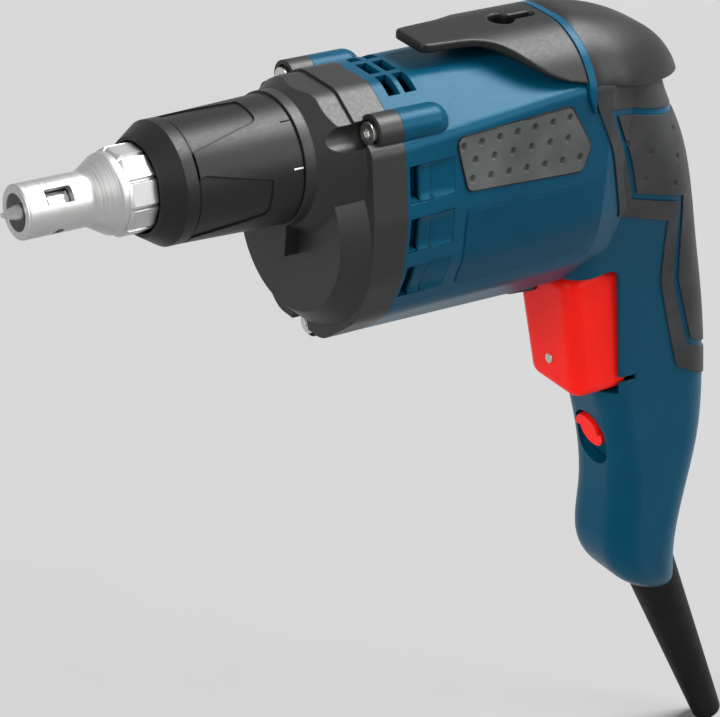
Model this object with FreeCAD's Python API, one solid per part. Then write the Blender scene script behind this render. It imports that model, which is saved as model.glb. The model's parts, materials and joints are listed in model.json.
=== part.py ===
import FreeCAD, Part
import math
import os

# Drywall screwdriver. The spindle lies on the X axis, the nose face is at X = 0 and points to -X,
# the handle hangs along -Z and the user's left side is -Y. All lengths are in millimetres.

# Allowances
running_clearance = 0.05
moving_gap = 0.4
seat_gap = 0.2
cut_overrun = 4.0
least_corner = 0.6

# Nose stop and its lobed ring
nose_radius = 9.0
nose_bore_radius = 6.2
nose_tube_length = 23.5
nose_window_start = 7.0
nose_window_length = 9.5
nose_window_width = 5.6
nose_hole_radius = 1.9
nose_window_pairs = 2
nose_window_angle = 45.0
flare_length = 10.0
flare_radius = 13.4
flare_throat_radius = 5.0
flare_lip_length = 2.4
flare_shoulder_radius = 3.0
nose_edge = 0.8
ring_length = 9.6
ring_radius = 14.6
ring_lobe_count = 10
ring_notch_depth = 1.1
ring_root_share = 0.93
ring_tip_share = 0.82
skirt_radius = 12.4
skirt_bore_radius = 8.4
skirt_length = 15.0

# Depth collar
collar_front_radius = 16.4
collar_shoulder_radius = 20.7
collar_rear_radius = 21.9
collar_cone_length = 7.0
collar_band_length = 4.4
collar_length = 50.3
collar_groove_width = 0.9
collar_groove_depth = 0.7
collar_ring_clearance = 0.6
collar_recess_room = 3.5
collar_panel_count = 4
collar_panel_angle = -8.0
collar_panel_front_degrees = 66.0
collar_panel_rear_degrees = 34.0
collar_panel_length = 27.5
collar_panel_depth = 0.6
collar_travel = 1.5

# Gear case
spigot_radius = 16.4
spigot_length = 33.0
neck_radius = 22.7
neck_length = 4.0
collar_neck_gap = 0.4
case_neck_run = 10.2
case_disc_radius = 30.0
case_disc_length = 7.6
case_step_inset = 0.9
case_shoulder_radius = 31.0
case_band_length = 13.4
case_lug_half_width = 7.0
case_lug_length = 6.0
case_lug_bottom = 33.5

# Gear train
gear_module = 0.9
gear_teeth = 48
pinion_teeth = 9
gear_width = 9.0
gear_plate_gap = 2.4
gear_hub_radius = 7.0
gear_hub_length = 6.0
gear_side_gap = 0.6
tooth_addendum_share = 0.85
tooth_dedendum_share = 1.15
tooth_tip_share = 0.26
tooth_root_share = 0.56

# Spindle, clutch claws, bit holder and bit
spindle_radius = 6.0
spindle_tail_radius = 3.6
spindle_flange_radius = 12.2
spindle_flange_length = 3.0
spindle_travel = 3.0
claw_inner_radius = 8.2
claw_outer_radius = 12.0
claw_length = 3.0
claw_count = 3
claw_degrees = 42.0
claw_rest_gap = 1.5
bush_radius = 10.4
bush_length = 28.0
holder_radius = 5.7
holder_start = 9.0
holder_length = 40.0
socket_depth = 16.0
hex_flats = 6.35
hex_clearance = 0.03
bit_reach = 5.0
bit_shank_x = 5.0
bit_neck_radius = 2.9
bit_cone_length = 6.0
bit_point_radius = 0.7
bit_flute_width = 2.2
bit_flute_lean = 26.0
spring_coil_radius = 5.7
spring_wire_radius = 0.6
spring_turns = 3
spring_steps = 12
spring_length = 4.3

# Motor
shaft_radius = 4.0
shaft_end_gap = 0.4
bearing_plate_length = 5.6
bearing_plate_inset = 7.5
front_bearing_radius = 9.5
bearing_length = 6.5
front_bearing_boss_radius = 12.5
rear_bearing_radius = 8.5
rear_seat_length = 7.6
rear_seat_gap = 1.1
fan_radius = 29.5
fan_plate_length = 1.8
fan_length = 9.0
fan_gap = 4.0
fan_hub_radius = 8.5
fan_blade_count = 11
fan_blade_thickness = 1.6
core_gap = 7.0
core_length = 35.0
core_radius = 15.2
core_slot_depth = 4.5
core_slot_count = 12
core_slot_share = 0.72
air_gap = 0.6
winding_radius = 13.2
winding_length = 4.0
commutator_radius = 10.8
commutator_length = 10.0
commutator_gap = 0.3
field_radius = 27.0
field_window_half = 8.0
field_window_reach = 7.0
coil_overhang = 3.5
brush_width = 6.4
brush_height = 8.0
brush_length = 11.0
brush_wall = 1.6
field_rib_length = 3.0

# Main housing
barrel_front_half_width = 37.5
barrel_waist_half_width = 32.0
barrel_turn_half_width = 30.6
barrel_rear_half_width = 23.5
barrel_top = 25.4
barrel_front_drop = 65.0
barrel_drop = 67.5
barrel_waist_length = 75.0
barrel_turn_length = 15.0
barrel_tail_length = 36.0
barrel_front_shares = ((0.27, 1.0), (0.87, 0.45), (1.0, -0.20), (1.0, -0.50), (0.82, -0.78), (0.36, -1.0))
barrel_rear_shares = ((0.34, 1.0), (0.93, 0.66), (1.0, -0.20), (1.0, -0.50), (0.82, -0.78), (0.36, -1.0))
barrel_radius_shares = (0.30, 0.14, 0.50, 0.50, 0.38, 0.30)
housing_wall = 3.0
screw_boss_radius = 6.2
low_boss_radius = 5.2
screw_boss_length = 14.5
case_screw_y = 25.2
case_screw_z = 15.1
low_screw_drop = 0.2
case_screw_inset = 10.5
screw_head_radius = 3.9
screw_head_length = 2.8
screw_shank_radius = 2.0
screw_shank_length = 20.0
screw_drive_radius = 1.7
screw_drive_depth = 1.5
screw_channel_gap = 0.8

# Side vents and top vents
vent_length = 7.5
vent_start = 1.2
vent_top = 4.5
vent_height = 12.5
vent_pitch = 17.5
vent_count = 3
vent_panel_length = 19.0
vent_panel_depth = 1.3
top_vent_length = 4.6
top_vent_start = 4.2
top_vent_pitch = 6.6
top_vent_columns = 2
top_vent_width = 9.0
top_vent_rib = 2.2
top_vent_rows = 3

# Side pads
pad_inset = 20.8
pad_length = 60.2
pad_front_lean = 5.0
pad_rear_lean = 10.5
pad_tail_lean = 3.5
pad_front_top = 10.0
pad_rear_top = 11.8
pad_front_bottom = 8.6
pad_rear_middle = 4.0
pad_rear_bottom = 12.6
pad_corner = 3.0
pad_depth = 1.6
pad_proud = 0.5

# Rear shell, handle and its soft inlays
parting_gap = 3.5
handle_run = 95.5
handle_drop = 218.0
handle_half_width = 16.4
handle_front_corner_share = 0.62
handle_back_corner_share = 0.88
grip_depth = 1.6
grip_proud = 0.6
grip_rib = 2.5
rim_length = 3.0
handle_shares = (
    (0.083, 0.005, 0.487, 1.677),
    (-0.046, -0.037, 0.606, 1.646),
    (-0.147, -0.037, 0.708, 1.555),
    (-0.275, 0.089, 0.807, 1.250),
    (-0.413, 0.267, 0.903, 1.085),
    (-0.569, 0.419, 0.978, 1.010),
    (-0.688, 0.513, 1.000, 1.000),
    (-0.807, 0.560, 0.974, 1.000),
    (-0.908, 0.586, 0.958, 1.037),
    (-0.968, 0.686, 0.979, 0.950),
    (-1.000, 0.812, 1.000, 0.700),
)
parting_shares = (
    (0.000, 0.310), (0.000, 0.064), (0.110, -0.041), (0.220, -0.170), (0.272, -0.229), (0.455, -0.248),
    (0.529, -0.289), (0.665, -0.546), (0.717, -0.853), (0.853, -0.945), (0.937, -1.200),
)
band_shares = (
    (0.031, 0.100), (0.042, 0.046), (0.147, -0.041), (0.251, -0.174), (0.529, -0.211), (0.576, -0.339),
    (0.738, -0.518), (1.220, -0.619), (1.220, 0.100),
)
band_inner_shares = (
    (0.110, 0.032), (0.220, -0.055), (0.304, -0.147), (0.560, -0.177), (0.639, -0.344), (0.770, -0.477),
    (1.220, -0.569), (1.220, -0.078),
)

# Crown: the belt hook, the rim and the rear cap share one section
crown_top = 34.2
crown_half_width = 31.0
crown_corner_shares = ((0.33, 1.0), (0.72, 0.82), (1.0, 0.50), (1.0, -0.30))
crown_radius_shares = (0.77, 0.90, 0.58, 0.02)
cap_section_shares = (
    (0.000, 1.000, 1.000), (0.130, 0.975, 0.960), (0.255, 0.895, 0.880), (0.365, 0.780, 0.740),
    (0.455, 0.640, 0.590), (0.515, 0.510, 0.460), (0.565, 0.360, 0.330), (0.600, 0.220, 0.210),
)
cap_seat_front_share = 0.515
cap_seat_rear_share = 0.0
hook_length = 56.3
hook_tip_half_width = 8.5
hook_tongue_length = 24.0
hook_root_half_width = 10.5
hook_wing_share = 0.42
hook_wing_width_share = 0.80
hook_thickness = 3.4
hook_wing_run = 13.3
hook_wing_bottom_share = 0.62
hook_end_bottom_share = 0.50
hook_corner = 3.0
hook_bend_radius = 24.0
hook_wing_radius = 16.0
keyhole_inset = 17.3
keyhole_radius = 4.5
keyhole_slot_radius = 1.9
keyhole_slot_length = 12.0

# Trigger, direction lever and lock button
trigger_half_width = 15.0
trigger_top_half_width = 17.0
trigger_travel = 6.5
trigger_shares = ((0.126, -0.304), (0.345, -0.286), (0.461, -0.544), (0.267, -0.544))
trigger_corner = 5.0
trigger_depth = 7.5
trigger_front_corner = 6.0
trigger_notch_corner = 7.0
trigger_slot_height = 2.4
trigger_stem_half_width = 5.0
trigger_stem_height = 12.0
trigger_stem_reach = 2.0
trigger_stem_drop_share = 0.40
speed_screw_radius = 1.9
speed_screw_length = 8.0
speed_screw_drop_share = 0.76
speed_screw_proud = 0.4
lever_trigger_gap = 0.9
lever_post_radius = 3.4
lever_post_length = 7.0
lever_tab_length = 11.5
lever_tab_radius = 4.6
lever_tab_height = 4.6
lever_drop_gap = 0.4
lock_place_shares = (0.500, -0.670)
lock_lean = 19.0
lock_corner_share = 0.98
lock_recess_half_width = 8.5
lock_recess_half_height = 12.0
lock_recess_depth = 4.0
lock_half_width = 6.4
lock_half_height = 7.4
lock_rise = 3.4
lock_sink = 0.4
lock_travel = 2.0

# Switch, suppressor, cord clamp, cord sleeve and handle screw
switch_length = 15.0
switch_half_width = 10.0
switch_top_share = -0.350
switch_height = 32.0
inner_side_gap = 0.3
suppressor_height = 22.0
suppressor_length = 20.0
suppressor_place_shares = (0.644, -0.573)
clamp_height = 7.0
clamp_length = 12.0
clamp_place_shares = (0.696, -0.817)
sleeve_place_shares = (0.874, -0.950)
sleeve_lean = 27.8
sleeve_length = 104.0
sleeve_root_radius = 10.3
sleeve_tip_radius = 6.1
sleeve_bore_radius = 3.6
sleeve_flange_radius = 9.0
sleeve_flange_length = 4.0
sleeve_neck_radius = 7.0
sleeve_bell_start = 8.0
handle_screw_share = -0.858
handle_screw_inset = 9.0
handle_screw_length = 16.0
handle_notch_radius = 5.2

# Worked out places
gear_pitch_radius = gear_module * gear_teeth / 2
pinion_pitch_radius = gear_module * pinion_teeth / 2
gear_tip_radius = gear_pitch_radius + tooth_addendum_share * gear_module
gear_root_radius = gear_pitch_radius - tooth_dedendum_share * gear_module
pinion_tip_radius = pinion_pitch_radius + tooth_addendum_share * gear_module
pinion_root_radius = pinion_pitch_radius - tooth_dedendum_share * gear_module
motor_z = -(gear_pitch_radius + pinion_pitch_radius)
ring_start = nose_tube_length + flare_length
collar_start = ring_start + ring_length
collar_end = collar_start + collar_length
neck_start = collar_end + collar_neck_gap
spigot_start = neck_start - spigot_length
case_disc_x = neck_start + case_neck_run
case_step_x = case_disc_x + case_disc_length
case_rear_x = case_step_x + case_band_length
case_screw_x = case_rear_x - case_screw_inset
plate_front_x = case_rear_x - bearing_plate_length
gear_rear_x = plate_front_x - gear_plate_gap
gear_front_x = gear_rear_x - gear_width
flange_x = gear_front_x - 2 * claw_length - claw_rest_gap - spindle_flange_length
bush_end = flange_x - moving_gap
holder_end = holder_start + holder_length
fan_x = case_rear_x + fan_gap
core_x = fan_x + fan_length + core_gap
commutator_x = core_x + core_length + winding_length + commutator_gap
rear_seat_x = commutator_x + commutator_length + rear_seat_gap
shaft_rear_x = rear_seat_x + rear_seat_length - shaft_end_gap
barrel_waist_x = case_rear_x + barrel_waist_length
barrel_rear_x = barrel_waist_x + barrel_tail_length
case_screw_low_z = -barrel_front_drop - low_screw_drop
pad_front_x = case_rear_x + pad_inset
pad_rear_x = pad_front_x + pad_length
parting_x = barrel_waist_x + parting_gap
tool_length = parting_x + handle_run
cap_start = parting_x + rim_length
hook_end = parting_x - seat_gap
hook_tip_x = hook_end - hook_length
hook_root_x = hook_tip_x + hook_tongue_length
hook_wing_x = hook_end - hook_wing_run
keyhole_x = hook_end - keyhole_inset
far_side = barrel_front_half_width + cut_overrun


def vec(x, y, z):
    return FreeCAD.Vector(x, y, z)


x_axis = vec(1, 0, 0)
y_axis = vec(0, 1, 0)
z_axis = vec(0, 0, 1)


def in_section(x):
    """Map outline points (y, z) to the cross plane at x."""
    return lambda point: vec(x, point[0], point[1])


def in_side(y):
    """Map outline points (x, z) to the upright plane at y."""
    return lambda point: vec(point[0], y, point[1])


def in_plan(z):
    """Map outline points (x, y) to the level plane at z."""
    return lambda point: vec(point[0], point[1], z)


def sharp_wire(points):
    return Part.makePolygon(points + points[:1])


def rounded_wire(points, radii):
    """Closed wire with an arc of its own radius at each corner, or none where the radius is zero."""
    count = len(points)
    starts = []
    middles = []
    ends = []
    for index in range(count):
        corner = points[index]
        backward = (points[index - 1] - corner).normalize()
        forward = (points[(index + 1) % count] - corner).normalize()
        half_angle = backward.getAngle(forward) / 2
        reach = radii[index] / math.tan(half_angle)
        bisector = (backward + forward).normalize()
        starts.append(corner + backward * reach)
        middles.append(corner + bisector * (radii[index] / math.sin(half_angle) - radii[index]))
        ends.append(corner + forward * reach)
    edges = []
    for index in range(count):
        if radii[index] > 0:
            edges.append(Part.Arc(starts[index], middles[index], ends[index]).toShape())
        edges.append(Part.LineSegment(ends[index], starts[(index + 1) % count]).toShape())
    return Part.Wire(edges)


def inset_outline(points, depth):
    """Outline drawn in by a depth, with mitred corners."""
    count = len(points)
    area = 0
    for index in range(count):
        last = points[index - 1]
        this = points[index]
        area += last[0] * this[1] - this[0] * last[1]
    side = math.copysign(1, area)
    result = []
    for index in range(count):
        last = points[index - 1]
        this = points[index]
        following = points[(index + 1) % count]
        run_in = math.hypot(this[0] - last[0], this[1] - last[1])
        run_out = math.hypot(following[0] - this[0], following[1] - this[1])
        normal_in = ((last[1] - this[1]) / run_in * side, (this[0] - last[0]) / run_in * side)
        normal_out = ((this[1] - following[1]) / run_out * side, (following[0] - this[0]) / run_out * side)
        mitre = depth / (1 + normal_in[0] * normal_out[0] + normal_in[1] * normal_out[1])
        across = this[0] + mitre * (normal_in[0] + normal_out[0])
        along = this[1] + mitre * (normal_in[1] + normal_out[1])
        result.append((across, along))
    return result


def mirrored(half):
    """Close a half outline of (y, z) points with its mirror image."""
    return list(half) + [(-across, along) for across, along in reversed(half)]


def prism(outline, place, direction, radii=None):
    """Extrude a flat outline, sharp or with rounded corners."""
    points = [place(point) for point in outline]
    wire = rounded_wire(points, radii) if radii else sharp_wire(points)
    return Part.Face(wire).extrude(direction)


def side_prism(outline, half_width, radii=None):
    """Extrude an (x, z) outline to both sides of the middle plane."""
    return prism(outline, in_side(-half_width), y_axis * (2 * half_width), radii)


def rod(radius, start_x, end_x, y=0, z=0):
    return Part.makeCylinder(radius, end_x - start_x, vec(start_x, y, z), x_axis)


def tube(outer, inner, start_x, end_x, y=0, z=0):
    bore = rod(inner, start_x - cut_overrun, end_x + cut_overrun, y, z)
    return rod(outer, start_x, end_x, y, z).cut(bore)


def cone(front_radius, rear_radius, start_x, end_x, z=0):
    return Part.makeCone(front_radius, rear_radius, end_x - start_x, vec(start_x, 0, z), x_axis)


def block(start_x, end_x, half_width, bottom, top):
    return Part.makeBox(end_x - start_x, 2 * half_width, top - bottom, vec(start_x, -half_width, bottom))


def turned(profile):
    """Revolve a closed (x, radius) outline round the spindle axis."""
    wire = sharp_wire([vec(x, 0, radius) for x, radius in profile])
    return Part.Face(wire).revolve(vec(0, 0, 0), x_axis, 360)


def round_x(shape, degrees, z=0):
    copy = shape.copy()
    copy.rotate(vec(0, 0, z), x_axis, degrees)
    return copy


def toothed(count, root_radius, tip_radius, root_share, tip_share, start_x, length, z, turn):
    """Straight toothed bar along X: each tooth is a trapezium, widths are shares of the pitch."""
    points = []
    pitch = 2 * math.pi / count
    for index in range(count):
        centre = pitch * index + turn
        for radius, offset in (
            (root_radius, -root_share / 2),
            (tip_radius, -tip_share / 2),
            (tip_radius, tip_share / 2),
            (root_radius, root_share / 2),
        ):
            angle = centre + pitch * offset
            points.append(vec(start_x, radius * math.sin(angle), z + radius * math.cos(angle)))
    return Part.Face(sharp_wire(points)).extrude(x_axis * length)


def sector(inner, outer, start_x, length, middle_degrees, spread_degrees):
    """Piece of a ring round the spindle axis, as a clutch claw."""
    ring = Part.makeCylinder(outer, length, vec(start_x, 0, 0), x_axis, spread_degrees)
    ring = ring.cut(rod(inner, start_x - cut_overrun, start_x + length + cut_overrun))
    return round_x(ring, middle_degrees - spread_degrees / 2)


def behind(x_share, z_share):
    """Place in the side view of the handle, from shares of its run and its drop."""
    return (parting_x + x_share * handle_run, z_share * handle_drop)


def barrel_outline(half_width, drop, corner_shares, inset=0):
    half = []
    for across, along in corner_shares:
        height = barrel_top if along > 0 else drop
        half.append((across * half_width, along * height))
    return inset_outline(mirrored(half), inset)


def barrel_radii(half_width, inset=0):
    half = [max(share * half_width - inset, least_corner) for share in barrel_radius_shares]
    return half + half[::-1]


def barrel(inset=0):
    """Motor barrel: four sections joined by straight sides, drawn in by an inset."""
    wires = []
    for x, half_width, drop, shares in (
        (case_rear_x, barrel_front_half_width, barrel_front_drop, barrel_front_shares),
        (barrel_waist_x, barrel_waist_half_width, barrel_drop, barrel_rear_shares),
        (barrel_waist_x + barrel_turn_length, barrel_turn_half_width, barrel_drop, barrel_rear_shares),
        (barrel_rear_x, barrel_rear_half_width, barrel_drop, barrel_rear_shares),
    ):
        points = [in_section(x)(point) for point in barrel_outline(half_width, drop, shares, inset)]
        wires.append(rounded_wire(points, barrel_radii(half_width, inset)))
    return Part.makeLoft(wires, True, True)


def handle(inset=0):
    """Handle: rounded level sections blended into one surface, drawn in by an inset."""
    wires = []
    last = len(handle_shares) - 1
    for index, (z_share, front_share, back_share, width_share) in enumerate(handle_shares):
        front = behind(front_share, z_share)[0] + inset
        back = behind(back_share, z_share)[0] - inset
        full_width = width_share * handle_half_width
        half_width = full_width - inset
        z = z_share * handle_drop
        if index == 0:
            z -= inset
        if index == last:
            z += inset
        outline = ((front, -half_width), (back, -half_width), (back, half_width), (front, half_width))
        front_radius = handle_front_corner_share * full_width - inset
        back_radius = handle_back_corner_share * full_width - inset
        points = [in_plan(z)(point) for point in outline]
        wires.append(rounded_wire(points, (front_radius, back_radius, back_radius, front_radius)))
    return Part.makeLoft(wires, True, False)


def body(inset=0):
    return barrel(inset).fuse(handle(inset)).removeSplitter()


def barrel_half_width_at(x):
    """Half width of the barrel between its front and its waist."""
    share = (x - case_rear_x) / (barrel_waist_x - case_rear_x)
    return barrel_front_half_width + share * (barrel_waist_half_width - barrel_front_half_width)


def front_section(inset, start_x, end_x):
    """Straight length of the barrel's front section."""
    outline = barrel_outline(barrel_front_half_width, barrel_front_drop, barrel_front_shares, inset)
    radii = barrel_radii(barrel_front_half_width, inset)
    return prism(outline, in_section(start_x), x_axis * (end_x - start_x), radii)


def crown(start_x, end_x):
    """Length of the section that hook, rim and cap share."""
    half = [(across * crown_half_width, along * crown_top) for across, along in crown_corner_shares]
    half_radii = [share * crown_half_width for share in crown_radius_shares]
    place = in_section(start_x)
    return prism(mirrored(half), place, x_axis * (end_x - start_x), half_radii + half_radii[::-1])


def cap_zone(lower=0):
    """Space above the seat of the rear cap, moved down by a depth."""
    front = cap_seat_front_share * crown_top - lower
    rear = cap_seat_rear_share * crown_top - lower
    top = crown_top + cut_overrun
    outline = [(parting_x, front), (tool_length, rear), (tool_length, top), (parting_x, top)]
    return side_prism(outline, far_side)


def front_zone():
    """Space in front of the parting line between the two shells."""
    line = [behind(*share) for share in parting_shares]
    return side_prism(line + [(0, line[-1][1]), (0, line[0][1])], far_side)


# Nose stop and depth collar


def nose_stop():
    rear = collar_start + skirt_length
    profile = [
        (0, nose_bore_radius, 0),
        (0, nose_radius, nose_edge),
        (nose_tube_length, nose_radius, flare_throat_radius),
        (ring_start - flare_lip_length, flare_radius, flare_shoulder_radius),
        (ring_start, flare_radius, 0),
        (ring_start, skirt_radius, 0),
        (rear, skirt_radius, 0),
        (rear, skirt_bore_radius, 0),
        (ring_start, skirt_bore_radius, 0),
        (nose_tube_length, nose_bore_radius, 0),
    ]
    wire = rounded_wire([vec(x, 0, radius) for x, radius, corner in profile], [row[2] for row in profile])
    shape = Part.Face(wire).revolve(vec(0, 0, 0), x_axis, 360)
    half_width = nose_window_width / 2
    end = nose_window_start + nose_window_length
    outline = [
        (nose_window_start, -half_width), (end, -half_width),
        (end, half_width), (nose_window_start, half_width),
    ]
    corners = [least_corner] * len(outline)
    reach = nose_radius + cut_overrun
    window = prism(outline, in_plan(0), z_axis * reach, corners)
    hole = Part.makeCylinder(nose_hole_radius, reach, vec((nose_window_start + end) / 2, 0, 0), z_axis)
    pitch = 180 / nose_window_pairs
    for index in range(nose_window_pairs):
        angle = nose_window_angle + 2 * pitch * index
        shape = shape.cut([round_x(window, angle), round_x(hole, angle + pitch)])
    return shape


def stop_ring():
    root = ring_radius - ring_notch_depth
    lobes = toothed(
        ring_lobe_count, root, ring_radius, ring_root_share, ring_tip_share, ring_start, ring_length, 0, 0
    )
    chamfered = cone(root, root + ring_length, ring_start, collar_start)
    bore = rod(skirt_radius, ring_start - cut_overrun, collar_start + cut_overrun)
    return lobes.common(chamfered).cut(bore)


def collar_panel():
    """Cutter for one finger panel: wide in front, narrow with round corners behind."""
    start = collar_start + collar_cone_length + collar_band_length
    end = start + collar_panel_length
    front_half = collar_rear_radius * math.sin(math.radians(collar_panel_front_degrees / 2))
    rear_half = collar_rear_radius * math.sin(math.radians(collar_panel_rear_degrees / 2))
    outline = [(start, -front_half), (end, -rear_half), (end, rear_half), (start, front_half)]
    corner = rear_half / 2
    reach = z_axis * (collar_rear_radius + cut_overrun)
    solid = prism(outline, in_plan(0), reach, [least_corner, corner] * 2)
    floor_radii = (collar_shoulder_radius - collar_panel_depth, collar_rear_radius - collar_panel_depth)
    floor = cone(floor_radii[0], floor_radii[1], start, collar_end)
    return solid.cut(floor)


def depth_collar():
    shoulder = collar_start + collar_cone_length
    groove = shoulder + collar_band_length
    groove_end = groove + collar_groove_width
    groove_radius = collar_shoulder_radius - collar_groove_depth
    recess = collar_start + collar_travel + collar_recess_room
    spigot_bore = spigot_radius + running_clearance
    skirt_bore = skirt_radius + running_clearance
    mouth = ring_radius + collar_ring_clearance
    step = spigot_start - moving_gap
    shape = turned([
        (collar_start, collar_front_radius), (shoulder, collar_shoulder_radius),
        (groove, collar_shoulder_radius), (groove, groove_radius), (groove_end, groove_radius),
        (groove_end, collar_shoulder_radius), (collar_end, collar_rear_radius), (collar_end, spigot_bore),
        (step, spigot_bore), (step, skirt_bore), (recess, skirt_bore), (recess, mouth), (collar_start, mouth),
    ])
    panel = collar_panel()
    for index in range(collar_panel_count):
        quarter = 360 / collar_panel_count * index
        shape = shape.cut(round_x(panel, 90 - collar_panel_angle + quarter))
    return shape


# Gear case and bearing plate


def screw_places():
    """Place across and up of each gear case screw, with the radius of its boss."""
    return (
        (-case_screw_y, case_screw_z, screw_boss_radius),
        (case_screw_y, case_screw_z, screw_boss_radius),
        (0, case_screw_low_z, low_boss_radius),
    )


def screw_seat_x():
    return case_screw_x + screw_head_length


def case_front():
    """Neck, shoulders and tapered disc in front of the step."""
    neck_end = neck_start + neck_length
    neck = rod(neck_radius, neck_start, neck_end)
    shoulders = cone(neck_radius, case_shoulder_radius, neck_end, case_step_x)
    rim_radius = barrel_front_half_width - case_step_inset
    disc = cone(case_disc_radius, rim_radius, case_disc_x, case_step_x, motor_z)
    lug = block(
        case_disc_x - case_lug_length, case_step_x, case_lug_half_width, -case_lug_bottom, -spigot_radius
    )
    front = neck.fuse([shoulders, disc, lug])
    return front.common(front_section(case_step_inset, neck_start, case_step_x))


def case_cavity():
    """Room for the gear, the pinion, the clutch, the bush and the bearing plate."""
    gear_room = gear_tip_radius + gear_side_gap
    pinion_room = pinion_tip_radius + gear_side_gap
    room_x = gear_front_x - gear_side_gap
    return [
        rod(gear_room, room_x, case_rear_x),
        rod(pinion_room, room_x, case_rear_x, 0, motor_z),
        rod(spindle_flange_radius + moving_gap, bush_end, case_rear_x),
        rod(bush_radius, spigot_start - cut_overrun, case_rear_x),
        front_section(bearing_plate_inset, plate_front_x, case_rear_x + cut_overrun),
    ]


def gear_case():
    seat = screw_seat_x()
    boss_x = seat - screw_head_length / 2
    pieces = [front_section(0, case_step_x, case_rear_x), rod(spigot_radius, spigot_start, case_disc_x)]
    for y, z, radius in screw_places():
        pieces.append(rod(radius, boss_x, case_rear_x, y, z))
    shape = case_front().fuse(pieces)
    cutters = case_cavity()
    for y, z, radius in screw_places():
        cutters.append(rod(screw_head_radius + screw_channel_gap, neck_start, seat, y, z))
        hole_radius = screw_shank_radius + running_clearance
        cutters.append(rod(hole_radius, neck_start, case_rear_x + cut_overrun, y, z))
    return shape.cut(cutters).removeSplitter()


def bearing_plate():
    plate = front_section(bearing_plate_inset, plate_front_x, case_rear_x)
    boss = rod(front_bearing_boss_radius, plate_front_x, plate_front_x + bearing_length, 0, motor_z)
    holes = [
        rod(front_bearing_radius, plate_front_x - cut_overrun, case_rear_x + bearing_length, 0, motor_z),
        rod(gear_hub_radius + running_clearance, plate_front_x - cut_overrun, case_rear_x + cut_overrun),
    ]
    return plate.fuse(boss).cut(holes)


def case_screw(y, z):
    """Pan head screw with a six-sided drive recess, lying along X."""
    seat = screw_seat_x()
    head = rod(screw_head_radius, case_screw_x, seat, y, z)
    shank = rod(screw_shank_radius, seat, seat + screw_shank_length, y, z)
    drive = hexagon(screw_drive_radius, case_screw_x - cut_overrun, case_screw_x + screw_drive_depth, y, z)
    return head.fuse(shank).cut(drive)


def hexagon(corner_radius, start_x, end_x, y=0, z=0):
    """Six-sided bar along X."""
    points = []
    for index in range(6):
        angle = math.pi / 3 * index
        points.append(vec(start_x, y + corner_radius * math.cos(angle), z + corner_radius * math.sin(angle)))
    return Part.Face(sharp_wire(points)).extrude(x_axis * (end_x - start_x))


# Gear train and spindle


def drive_gear():
    teeth = toothed(
        gear_teeth, gear_root_radius, gear_tip_radius, tooth_root_share, tooth_tip_share,
        gear_front_x, gear_width, 0, 0,
    )
    pieces = [rod(gear_hub_radius, gear_rear_x, gear_rear_x + gear_hub_length)]
    for index in range(claw_count):
        angle = 360 / claw_count * index
        start = gear_front_x - claw_length
        pieces.append(sector(claw_inner_radius, claw_outer_radius, start, claw_length, angle, claw_degrees))
    bore_end = gear_rear_x + gear_hub_length + cut_overrun
    bore = rod(spindle_tail_radius + running_clearance, gear_front_x - cut_overrun, bore_end)
    return teeth.fuse(pieces).cut(bore)


def spindle():
    flange_end = flange_x + spindle_flange_length
    pieces = [
        rod(spindle_flange_radius, flange_x, flange_end),
        rod(spindle_tail_radius, flange_end, gear_rear_x + gear_hub_length - spindle_travel),
    ]
    for index in range(claw_count):
        angle = 360 / claw_count * (index + 1 / 2)
        pieces.append(
            sector(claw_inner_radius, claw_outer_radius, flange_end, claw_length, angle, claw_degrees)
        )
    return rod(spindle_radius, holder_end, flange_x).fuse(pieces)


def bit_holder():
    shape = rod(holder_radius, holder_start, holder_end)
    socket_radius = (hex_flats / 2 + hex_clearance) / math.cos(math.pi / 6)
    return shape.cut(hexagon(socket_radius, holder_start - cut_overrun, holder_start + socket_depth))


def screwdriver_bit():
    """Hexagon bit with a cross point: a cone with four leaning flutes."""
    cone_end = bit_cone_length - bit_reach
    shank = hexagon(hex_flats / 2 / math.cos(math.pi / 6), bit_shank_x, holder_start + socket_depth)
    neck = rod(bit_neck_radius, cone_end, bit_shank_x)
    shape = shank.fuse([neck, cone(bit_point_radius, bit_neck_radius, -bit_reach, cone_end)])
    flute = Part.makeBox(
        2 * bit_cone_length, bit_flute_width, bit_flute_width,
        vec(-bit_cone_length, -bit_flute_width / 2, -bit_flute_width / 2),
    )
    flute.rotate(vec(0, 0, 0), x_axis, 45)
    flute.rotate(vec(0, 0, 0), y_axis, -bit_flute_lean)
    flute.translate(vec(-bit_reach, 0, bit_flute_width))
    for index in range(4):
        shape = shape.cut(round_x(flute, 90 * index + 45))
    return shape


def clutch_spring():
    """Open coil round the spindle tail, standing on the flange: six-sided wire in short straight steps."""
    climb = (spring_length - 2 * spring_wire_radius) / (spring_turns * spring_steps)
    start_x = flange_x + spindle_flange_length + spring_wire_radius
    wires = []
    for step in range(spring_turns * spring_steps + 1):
        angle = 2 * math.pi / spring_steps * step
        points = []
        for corner in range(6):
            lean = math.pi / 3 * corner
            reach = spring_coil_radius + spring_wire_radius * math.cos(lean)
            x = start_x + climb * step + spring_wire_radius * math.sin(lean)
            points.append(vec(x, reach * math.sin(angle), reach * math.cos(angle)))
        wires.append(sharp_wire(points))
    return Part.makeLoft(wires, True, True)


def spindle_bush():
    return tube(bush_radius, spindle_radius + running_clearance, bush_end - bush_length, bush_end)


# Motor


def armature_shaft():
    """Motor shaft with the pinion cut on its front end."""
    pinion = toothed(
        pinion_teeth, pinion_root_radius, pinion_tip_radius, tooth_root_share, tooth_tip_share,
        gear_front_x, gear_width, motor_z, math.pi / pinion_teeth,
    )
    return pinion.fuse(rod(shaft_radius, gear_rear_x, shaft_rear_x, 0, motor_z))


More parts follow.
